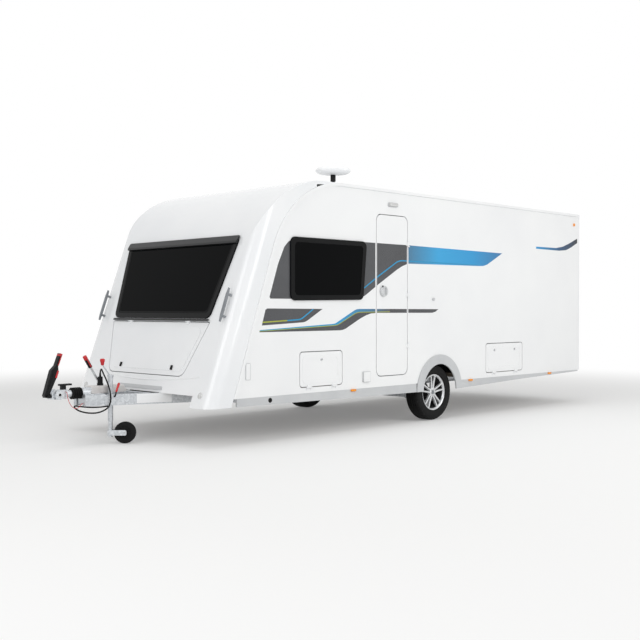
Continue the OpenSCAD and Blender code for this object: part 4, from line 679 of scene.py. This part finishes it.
def makeWheel(tag, side):
    name = "wheel_" + tag
    mid = at(0, side * wheel["mid"], wheel["z"])
    axis = (0, side, 0)
    profile = tyreProfile()
    shoulder = [k for k, (r, h) in enumerate(profile) if wheel["notchFrom"] < abs(h) < wheel["notchTo"]]
    tyre = lathe("tyre_moulded_" + tag, profile, mid, axis, "tyre", name, wheel["steps"], True,
                 lambda i, k: wheel["notch"] if k in shoulder and i % wheel["notchEvery"] == 0 else 0.0)
    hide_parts("tyre_" + tag)
    barrel = [(0.2, -0.076), (0.2, -0.07), (0.188, -0.062), (0.178, -0.04), (0.176, 0.03), (0.188, 0.062),
              (0.2, 0.07), (0.2, 0.0765), (0.1955, 0.0775), (0.187, 0.073), (0.1835, 0.0665), (0.168, 0.03),
              (0.17, -0.04), (0.182, -0.068)]
    # the barrel is coloured dark as painted shade seen through the gaps between the spokes
    rim = lathe("rim_barrel_" + tag, barrel, mid, axis, "alloyPaintedShade", name, 96, True)
    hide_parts("rim_" + tag)
    lip = [(0.1999, 0.069), (0.2002, 0.0768), (0.1956, 0.078), (0.1866, 0.0733), (0.1829, 0.0664), (0.1796, 0.058),
           (0.186, 0.0615), (0.192, 0.066)]
    lathe("rim_lip_" + tag, lip, mid, axis, "alloy", name, 96, True)
    drum = [(0.0225, -0.124), (0.11, -0.124), (0.115, -0.119), (0.115, -0.086), (0.108, -0.081), (0.054, -0.078),
            (0.054, 0.03), (0.0225, 0.03)]
    # the drum's near black is partly its cast iron and partly painted shade between the spokes
    lathe("brake_drum_" + tag, drum, mid, axis, "castIron", name, 64, True)
    verts, faces = [], []
    for k in range(wheel["spokes"]):
        a = 2 * math.pi * k / wheel["spokes"] + math.pi / 2
        for s in (-1, 1):
            # hub, middle and rim sections: radius, sideways place, half width, outer and inner depth
            rows = [(0.03, s * 0.0125, 0.0095, 0.062, 0.036), (0.1, s * 0.021, 0.0085, 0.066, 0.042),
                    (0.187, s * 0.037, 0.0075, 0.0735, 0.048)]
            start = len(verts)
            for r, off, w, outer, inner in rows:
                for dw, depth in ((-w, outer), (w, outer), (w * 1.5, inner), (-w * 1.5, inner)):
                    u, v = r, off + dw
                    verts.append(mid + Vector(((u * math.cos(a) - v * math.sin(a)), side * depth,
                                               u * math.sin(a) + v * math.cos(a))))
            for j in range(2):
                for q in range(4):
                    n = (q + 1) % 4
                    faces.append([start + 4 * j + q, start + 4 * j + n, start + 4 * j + 4 + n, start + 4 * j + 4 + q])
            faces += [[start + q for q in range(4)], [start + 8 + q for q in range(4)]]
    addMesh("rim_spokes_" + tag, verts, faces, "alloy", name, 0.003)
    lathe("rim_hub_" + tag, [(0.0, 0.0655), (0.044, 0.0655), (0.05, 0.062), (0.052, 0.05), (0.052, 0.03),
                             (0.0, 0.03)], mid, axis, "alloy", name, 48)
    lathe("hub_cap_" + tag, [(0.0, 0.0725), (0.018, 0.072), (0.0225, 0.0695), (0.024, 0.065)], mid, axis, "grey",
          name, 40)
    for k in range(wheel["bolts"]):
        a = 2 * math.pi * (k + 0.5) / wheel["bolts"] + math.pi / 2
        spot = mid + Vector((wheel["boltR"] * math.cos(a), 0, wheel["boltR"] * math.sin(a)))
        lathe("wheel_bolt_%s_%d" % (tag, k), [(0.0, 0.0715), (0.0055, 0.0715), (0.0068, 0.07), (0.0068, 0.065)], spot,
              axis, "chrome", name, 6)


for tag, side in (("left", 1), ("right", -1)):
    makeWheel(tag, side)
print("road wheels done")

# drawbar fittings: red and black grips, clamp handle, bolts
draw = {"foot": (4.230, 0.462), "tip": (4.080, 0.842), "thick": 0.0245,
        "lever": [("red_edge", [(-0.0145, 0.3), (-0.006, 0.3), (-0.004, 0.405), (-0.0145, 0.41)], 0.002),
                  ("red_tip", [(-0.0145, 0.385), (0.0145, 0.385), (0.012, 0.412), (-0.0145, 0.412)], 0.003),
                  ("gauge", [(-0.04, 0.19), (-0.018, 0.19), (-0.018, 0.26), (-0.036, 0.26)], 0.003)],
        "rib": [(-0.006, 0.03), (0.006, 0.03), (0.014, 0.22), (-0.014, 0.22)], "ribOut": (0.0225, 0.027),
        "ribBevel": 0.002, "brake": (3.64, -0.045, 0.553), "brakeLean": math.radians(32),
        "stripe": (0.185, 0.2, 0.25, 0.29), "stripeOut": 0.0175, "stripeR": 0.006, "knob": (3.7, 0.10037, 0.729),
        "stem": [(3.637, 0.196, 0.44), (3.636, 0.21, 0.444), (3.632, 0.215, 0.462), (3.627, 0.216, 0.49)],
        "stemR": 0.006,
        "handle": [(3.6275, 0.216, 0.484), (3.6255, 0.216, 0.492), (3.615, 0.216, 0.52), (3.6, 0.216, 0.556),
                   (3.596, 0.216, 0.566)],
        "handleR": [0.007, 0.0105, 0.0095, 0.0125, 0.007], "pad": (4.12, 0.067, 0.478),
        "boltX": (3.74, 3.83), "boltZ": 0.468, "armX": 2.75, "armY": 0.508, "armSlope": 0.383186}
leverUp = Vector((draw["tip"][0] - draw["foot"][0], draw["tip"][1] - draw["foot"][1])).normalized()


def onLever(across, along, out):
    return at(draw["foot"][0] + leverUp.x * along + leverUp.y * across, out,
              draw["foot"][1] + leverUp.y * along - leverUp.x * across)


for name, outline, bevel in draw["lever"]:
    plate("lever_" + name, outline, onLever, -draw["thick"], draw["thick"], "red", "caravan", bevel, "red_plastic")
for side, tag in sideTags:
    plate("lever_rib_" + tag, draw["rib"], onLever, side * draw["ribOut"][0], side * draw["ribOut"][1], "black",
          "caravan", draw["ribBevel"], "black_plastic")
brakeDir = Vector((math.sin(draw["brakeLean"]), 0, math.cos(draw["brakeLean"])))
brakeFoot = at(*draw["brake"])
lathe("brake_grip_black", [(0.0172, 0.178), (0.0186, 0.18), (0.0186, 0.2), (0.0178, 0.205), (0.0186, 0.21),
                           (0.0186, 0.268), (0.0172, 0.27)], brakeFoot, brakeDir, "black",
      "caravan", 28)
lathe("brake_grip_red", [(0.0175, 0.262), (0.0192, 0.266), (0.0192, 0.298), (0.016, 0.304), (0.0, 0.306)], brakeFoot,
      brakeDir, "red", "caravan", 28)
brakeSide = Vector((0, draw["stripeOut"], 0))
bar("brake_grip_stripe", [brakeFoot + brakeDir * s + brakeSide for s in draw["stripe"]], draw["stripeR"], "red",
    "caravan", 12)
lathe("crank_knob_red", [(0.0, -0.002), (0.012, -0.002), (0.0145, 0.003), (0.0162, 0.018), (0.0208, 0.032),
                         (0.0228, 0.044), (0.0215, 0.055), (0.016, 0.06), (0.0, 0.061)],
      at(*draw["knob"]), (0, 0, 1), "red", "jockey_tube", 32)
bar("clamp_handle_stem", [at(*p) for p in draw["stem"]], draw["stemR"], "black", "caravan", 12)
bar("clamp_handle_red", [at(*p) for p in draw["handle"]], 0.0, "red", "caravan", 16, draw["handleR"])

# ribs in the dished faces of the jockey wheel, and its axle nuts
jockey = {"centre": (3.51854, 0.19583, 0.1), "axis": (-0.70711, -0.70711, 0.0), "half": 0.022, "ribs": 6,
          "rib": 0.0045, "flare": 1.6, "from": 0.019, "to": 0.063, "low": 0.0095, "high": 0.002, "bevel": 0.001,
          "nut": 0.0335}
spinAxis = Vector(jockey["axis"])
flatDir = Vector((0, 0, 1)).cross(spinAxis)


def onJockey(turn, side):
    radial = flatDir * math.cos(turn) + Vector((0, 0, 1)) * math.sin(turn)
    across = radial.cross(spinAxis)
    return lambda a, b, out: at(*jockey["centre"]) + radial * a + across * b + spinAxis * (side * out)


ribEnd = jockey["rib"] * jockey["flare"]
ribOutline = [(jockey["from"], -jockey["rib"]), (jockey["to"], -ribEnd), (jockey["to"], ribEnd),
              (jockey["from"], jockey["rib"])]
for side, tag in ((-1, "a"), (1, "b")):
    for k in range(jockey["ribs"]):
        plate("jockey_rib_%s_%d" % (tag, k), ribOutline, onJockey(2 * math.pi * k / jockey["ribs"], side),
              jockey["half"] - jockey["low"], jockey["half"] - jockey["high"], "tyre", "jockey_wheel",
              jockey["bevel"], "black_rubber")
    lathe("jockey_nut_" + tag, [(0.0, 0.007), (0.008, 0.007), (0.0095, 0.0055), (0.0095, -0.001)],
          at(*jockey["centre"]) + spinAxis * side * jockey["nut"], spinAxis * side, "chrome", "jockey_fork", 6)
for side, tag in sideTags:
    padX, padY, padZ = draw["pad"]
    spot = at(padX, side * padY, padZ)
    lathe("pad_bolt_" + tag, [(0.0, 0.008), (0.011, 0.008), (0.013, 0.006), (0.013, -0.001)], spot, (0, side, 0),
          "black", "caravan", 6)
    lathe("pad_washer_" + tag, [(0.013, 0.0025), (0.022, 0.0025), (0.023, -0.001), (0.013, -0.001)], spot,
          (0, side, 0), "chrome", "caravan", 28, True)
    for k, x in enumerate(draw["boltX"]):
        y = side * (draw["armY"] - draw["armSlope"] * (x - draw["armX"]))
        lathe("drawbar_bolt_%s_%d" % (tag, k), [(0.0, 0.009), (0.009, 0.009), (0.0105, 0.0075), (0.0105, -0.001)],
              at(x, y, draw["boltZ"]), (0, 0, 1), "chrome", "caravan", 6)
print("drawbar fittings done")

# roof: domed rooflights
roof = {"lights": [(0.2, 0.0, 0.7, 0.5), (-2.15, -0.32, 0.4, 0.4)], "rim": 0.018, "rimR": 0.05, "bevel": 0.004,
        "inset": 0.05, "sunk": 0.002, "height": 0.054, "grid": 20, "power": 4, "pull": 0.03}


# steps from -1 to 1 that close up towards the ends
def sineSteps(n):
    return [math.sin((-1 + 2 * i / n) * math.pi / 2) for i in range(n + 1)]


def gridFaces(n, base=0):
    corners = [base + i * (n + 1) + j for i in range(n) for j in range(n)]
    return [[a, a + 1, a + n + 2, a + n + 1] for a in corners]


# the points round the edge of a grid
def gridLoop(n):
    near, far = list(range(n + 1)), [n * (n + 1) + j for j in range(n - 1, -1, -1)]
    return near + [i * (n + 1) + n for i in range(1, n + 1)] + far + [i * (n + 1) for i in range(n - 1, 0, -1)]


def domeShape(l, w, low, high):
    verts, power = [], roof["power"]
    for u in sineSteps(roof["grid"]):
        for v in sineSteps(roof["grid"]):
            lift = max(0.0, (1 - abs(u) ** power) * (1 - abs(v) ** power))
            pull = 1 - roof["pull"] * u * u * v * v
            verts.append((u * l / 2 * pull, v * w / 2 * pull, low + (high - low) * lift ** 0.5))
    return verts, gridFaces(roof["grid"]) + [gridLoop(roof["grid"])]


for k, (x, y, l, w) in enumerate(roof["lights"]):
    spot = at(x, y, body["roof"])
    rim = plate("rooflight_rim_%d" % k, roundedOutline(rectangle(-l / 2, -w / 2, l / 2, w / 2), roof["rimR"]),
                lambda u, v, h: spot + Vector((u, v, h)), 0.0, roof["rim"], "shell", "caravan", roof["bevel"],
                "white_shell")
    if k == 0:
        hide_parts("rooflights")
    verts, faces = domeShape(l - roof["inset"], w - roof["inset"], roof["rim"] - roof["sunk"], roof["height"])
    addMesh("rooflight_dome_%d" % k, [spot + Vector(v) for v in verts], faces, "roofPane", "caravan", 0.0, True)

# aerial: a flattened round shell, squared a little seen from above
aerial = {"spot": (1.15, 0.6, 2.678), "size": (0.188, 0.123, 0.09), "turn": math.radians(135), "rings": 24,
          "spins": 64, "flat": 0.55, "square": 0.75, "crown": 1.1, "weld": 0.0005}


def signedPower(value, power):
    return math.copysign(abs(value) ** power, value)


verts, faces = [], []
rings, spins = aerial["rings"], aerial["spins"]
c, s = math.cos(aerial["turn"]), math.sin(aerial["turn"])
for i in range(rings + 1):
    lat = -math.pi / 2 + math.pi * i / rings
    flat = signedPower(math.cos(lat), aerial["flat"])
    h = aerial["size"][2] / 2 * (1 + signedPower(math.sin(lat), aerial["crown"]))
    for j in range(spins):
        lon = 2 * math.pi * j / spins
        u = signedPower(math.cos(lon), aerial["square"]) * flat * aerial["size"][0]
        v = signedPower(math.sin(lon), aerial["square"]) * flat * aerial["size"][1]
        verts.append(at(*aerial["spot"]) + Vector((u * c - v * s, u * s + v * c, h)))
for i in range(rings):
    for j in range(spins):
        n = (j + 1) % spins
        faces.append([i * spins + j, i * spins + n, (i + 1) * spins + n, (i + 1) * spins + j])
aerialObj = addMesh("aerial_shell", verts, faces, "shell", "aerial", 0.0, True)
aerialObj.modifiers.new("weld", "WELD").merge_threshold = aerial["weld"]
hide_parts("aerial_head")
print("roof done")

# bench cushions: crowned pads with piping, two a side
bench = {"x": (1.2, 2.47), "y": (0.466, 1.046), "z": (0.92, 1.04), "gap": 0.006, "trim": 0.02, "lift": 0.001,
         "low": 0.004, "crown": 0.03, "pull": 0.014, "bulge": 0.008, "grid": 18, "piping": 0.005}


def cushionPoint(u, v, top, lx, ly, h):
    pinchX, pinchY = 1 - bench["pull"] / lx * 2 * (1 - v * v), 1 - bench["pull"] / ly * 2 * (1 - u * u)
    crown = bench["crown"] * (1 - u ** 4) * (1 - v ** 4)
    return Vector((u * lx / 2 * pinchX, v * ly / 2 * pinchY, (h - bench["crown"] + crown) if top else 0.0))


def makeCushion(name, centre, lx, ly, h):
    n = bench["grid"]
    steps = sineSteps(n)
    verts = [centre + cushionPoint(u, v, top, lx, ly, h) for top in (False, True) for u in steps for v in steps]
    count = (n + 1) ** 2
    faces = gridFaces(n) + gridFaces(n, count)
    loop = gridLoop(n)
    # bulging side wall between the two seams
    last = loop
    for share in (0.25, 0.5, 0.75, 1.0):
        if share < 1.0:
            row = []
            for k in loop:
                p, q = verts[k], verts[k + count]
                out = Vector(((p - centre).x, (p - centre).y,
                              0)).normalized() * bench["bulge"] * math.sin(share * math.pi)
                row.append(len(verts))
                verts.append(p.lerp(q, share) + out)
        else:
            row = [k + count for k in loop]
        for k in range(len(loop)):
            m = (k + 1) % len(loop)
            faces.append([last[k], last[m], row[m], row[k]])
        last = row
    pad = addMesh(name, verts, faces, "cloth", "caravan", 0.0, True)
    sub = pad.modifiers.new("smooth", "SUBSURF")
    sub.levels = sub.render_levels = 1
    seam = [verts[k + count] for k in loop]
    bar(name + "_piping", seam + [seam[0]], bench["piping"], "cloth", "caravan", 8)
    return pad


lx = (bench["x"][1] - bench["x"][0] - bench["gap"]) / 2 - bench["trim"]
ly = bench["y"][1] - bench["y"][0] - bench["trim"]
for side, tag in sideTags:
    for k in range(2):
        cx = bench["x"][0] + (bench["x"][1] - bench["x"][0]) * (0.25 + 0.5 * k)
        middle = at(cx, side * (bench["y"][0] + bench["y"][1]) / 2, bench["z"][0] + bench["lift"])
        pad = makeCushion("bench_cushion_%s_%d" % (tag, k), middle, lx, ly,
                          bench["z"][1] - bench["z"][0] - bench["low"])
        if (side, k) == (-1, 0):
            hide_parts("cushions")
print("cushions done")

# studio: pale floor that runs out to white, soft light from above and from the door side
studio = {"floor": "#F6F6F5", "sky": "#FFFFFF", "ambient": 0.52, "near": 5.0, "far": 11.0, "lift": 0.18, "reach": 60,
          "key": ((-1.0, 11.0, 6.0), 7.0, 395.0), "front": ((11.0, 3.0, 5.0), 6.0, 245.0),
          "top": ((0.0, 0.0, 10.0), 9.0, 230.0)}
floorMat, tree, shader, place = newMaterial("matt_paper_studio_floor")
reach = addNode(tree, "ShaderNodeVectorMath", {0: place}, operation="LENGTH")
# lift keeps the shadow grey
fade = addNode(tree, "ShaderNodeMapRange", {"Value": reach.outputs["Value"]},
               {"From Min": studio["near"], "From Max": studio["far"], "To Min": studio["lift"]},
               interpolation_type="SMOOTHSTEP")
rays = addNode(tree, "ShaderNodeLightPath")
shown = addNode(tree, "ShaderNodeMath", {0: rays.outputs["Is Camera Ray"], 1: rays.outputs["Is Glossy Ray"]},
                operation="MAXIMUM")
share = addNode(tree, "ShaderNodeMath", {0: fade.outputs[0], 1: shown.outputs[0]}, operation="MULTIPLY")
white = addNode(tree, "ShaderNodeEmission", None, {"Color": linear(studio["sky"]), "Strength": 1.0})
blend = addNode(tree, "ShaderNodeMixShader", {0: share.outputs[0], 1: shader.outputs[0], 2: white.outputs[0]})
tree.links.new(blend.outputs[0], [n for n in tree.nodes if n.type == "OUTPUT_MATERIAL"][0].inputs[0])
shader.inputs["Base Color"].default_value = linear(studio["floor"])
shader.inputs["Roughness"].default_value = 0.8
shader.inputs["Specular IOR Level"].default_value = 0.1
floorMesh = bpy.data.meshes.new("studio_floor")
floorMesh.from_pydata([(x * studio["reach"], y * studio["reach"], 0) for x, y in rectangle(-1, -1, 1, 1)], [],
                      [[0, 1, 2, 3]])
floorMesh.materials.append(floorMat)
floorObj = bpy.data.objects.new("studio_floor", floorMesh)
bpy.context.scene.collection.objects.link(floorObj)
for name in ("key", "front", "top"):
    place, size, power = studio[name]
    lamp = bpy.data.lights.new(name, "AREA")
    lamp.size, lamp.energy = size, power
    lampObj = bpy.data.objects.new(name, lamp)
    lampObj.location = place
    lampObj.rotation_mode = "QUATERNION"
    lampObj.rotation_quaternion = (Vector((0, 0, 1)) - Vector(place)).to_track_quat("-Z", "Y")
    bpy.context.scene.collection.objects.link(lampObj)
world = bpy.data.worlds.new("studio")
world.use_nodes = True
bpy.context.scene.world = world
tree = world.node_tree
tree.nodes.clear()
rays = addNode(tree, "ShaderNodeLightPath")
seen = addNode(tree, "ShaderNodeMath", {0: rays.outputs["Is Camera Ray"], 1: rays.outputs["Is Transmission Ray"]},
               operation="MAXIMUM")
seen = addNode(tree, "ShaderNodeMath", {0: seen.outputs[0], 1: rays.outputs["Is Glossy Ray"]}, operation="MAXIMUM")
pale = addNode(tree, "ShaderNodeBackground", None, {"Color": linear(studio["sky"]), "Strength": 1.0})
soft = addNode(tree, "ShaderNodeBackground", None, {"Color": linear(studio["sky"]), "Strength": studio["ambient"]})
mix = addNode(tree, "ShaderNodeMixShader", {0: seen.outputs[0], 1: soft.outputs[0], 2: pale.outputs[0]})
addNode(tree, "ShaderNodeOutputWorld", {0: mix.outputs[0]})
bpy.context.scene.view_settings.view_transform = "Standard"
print("studio done")
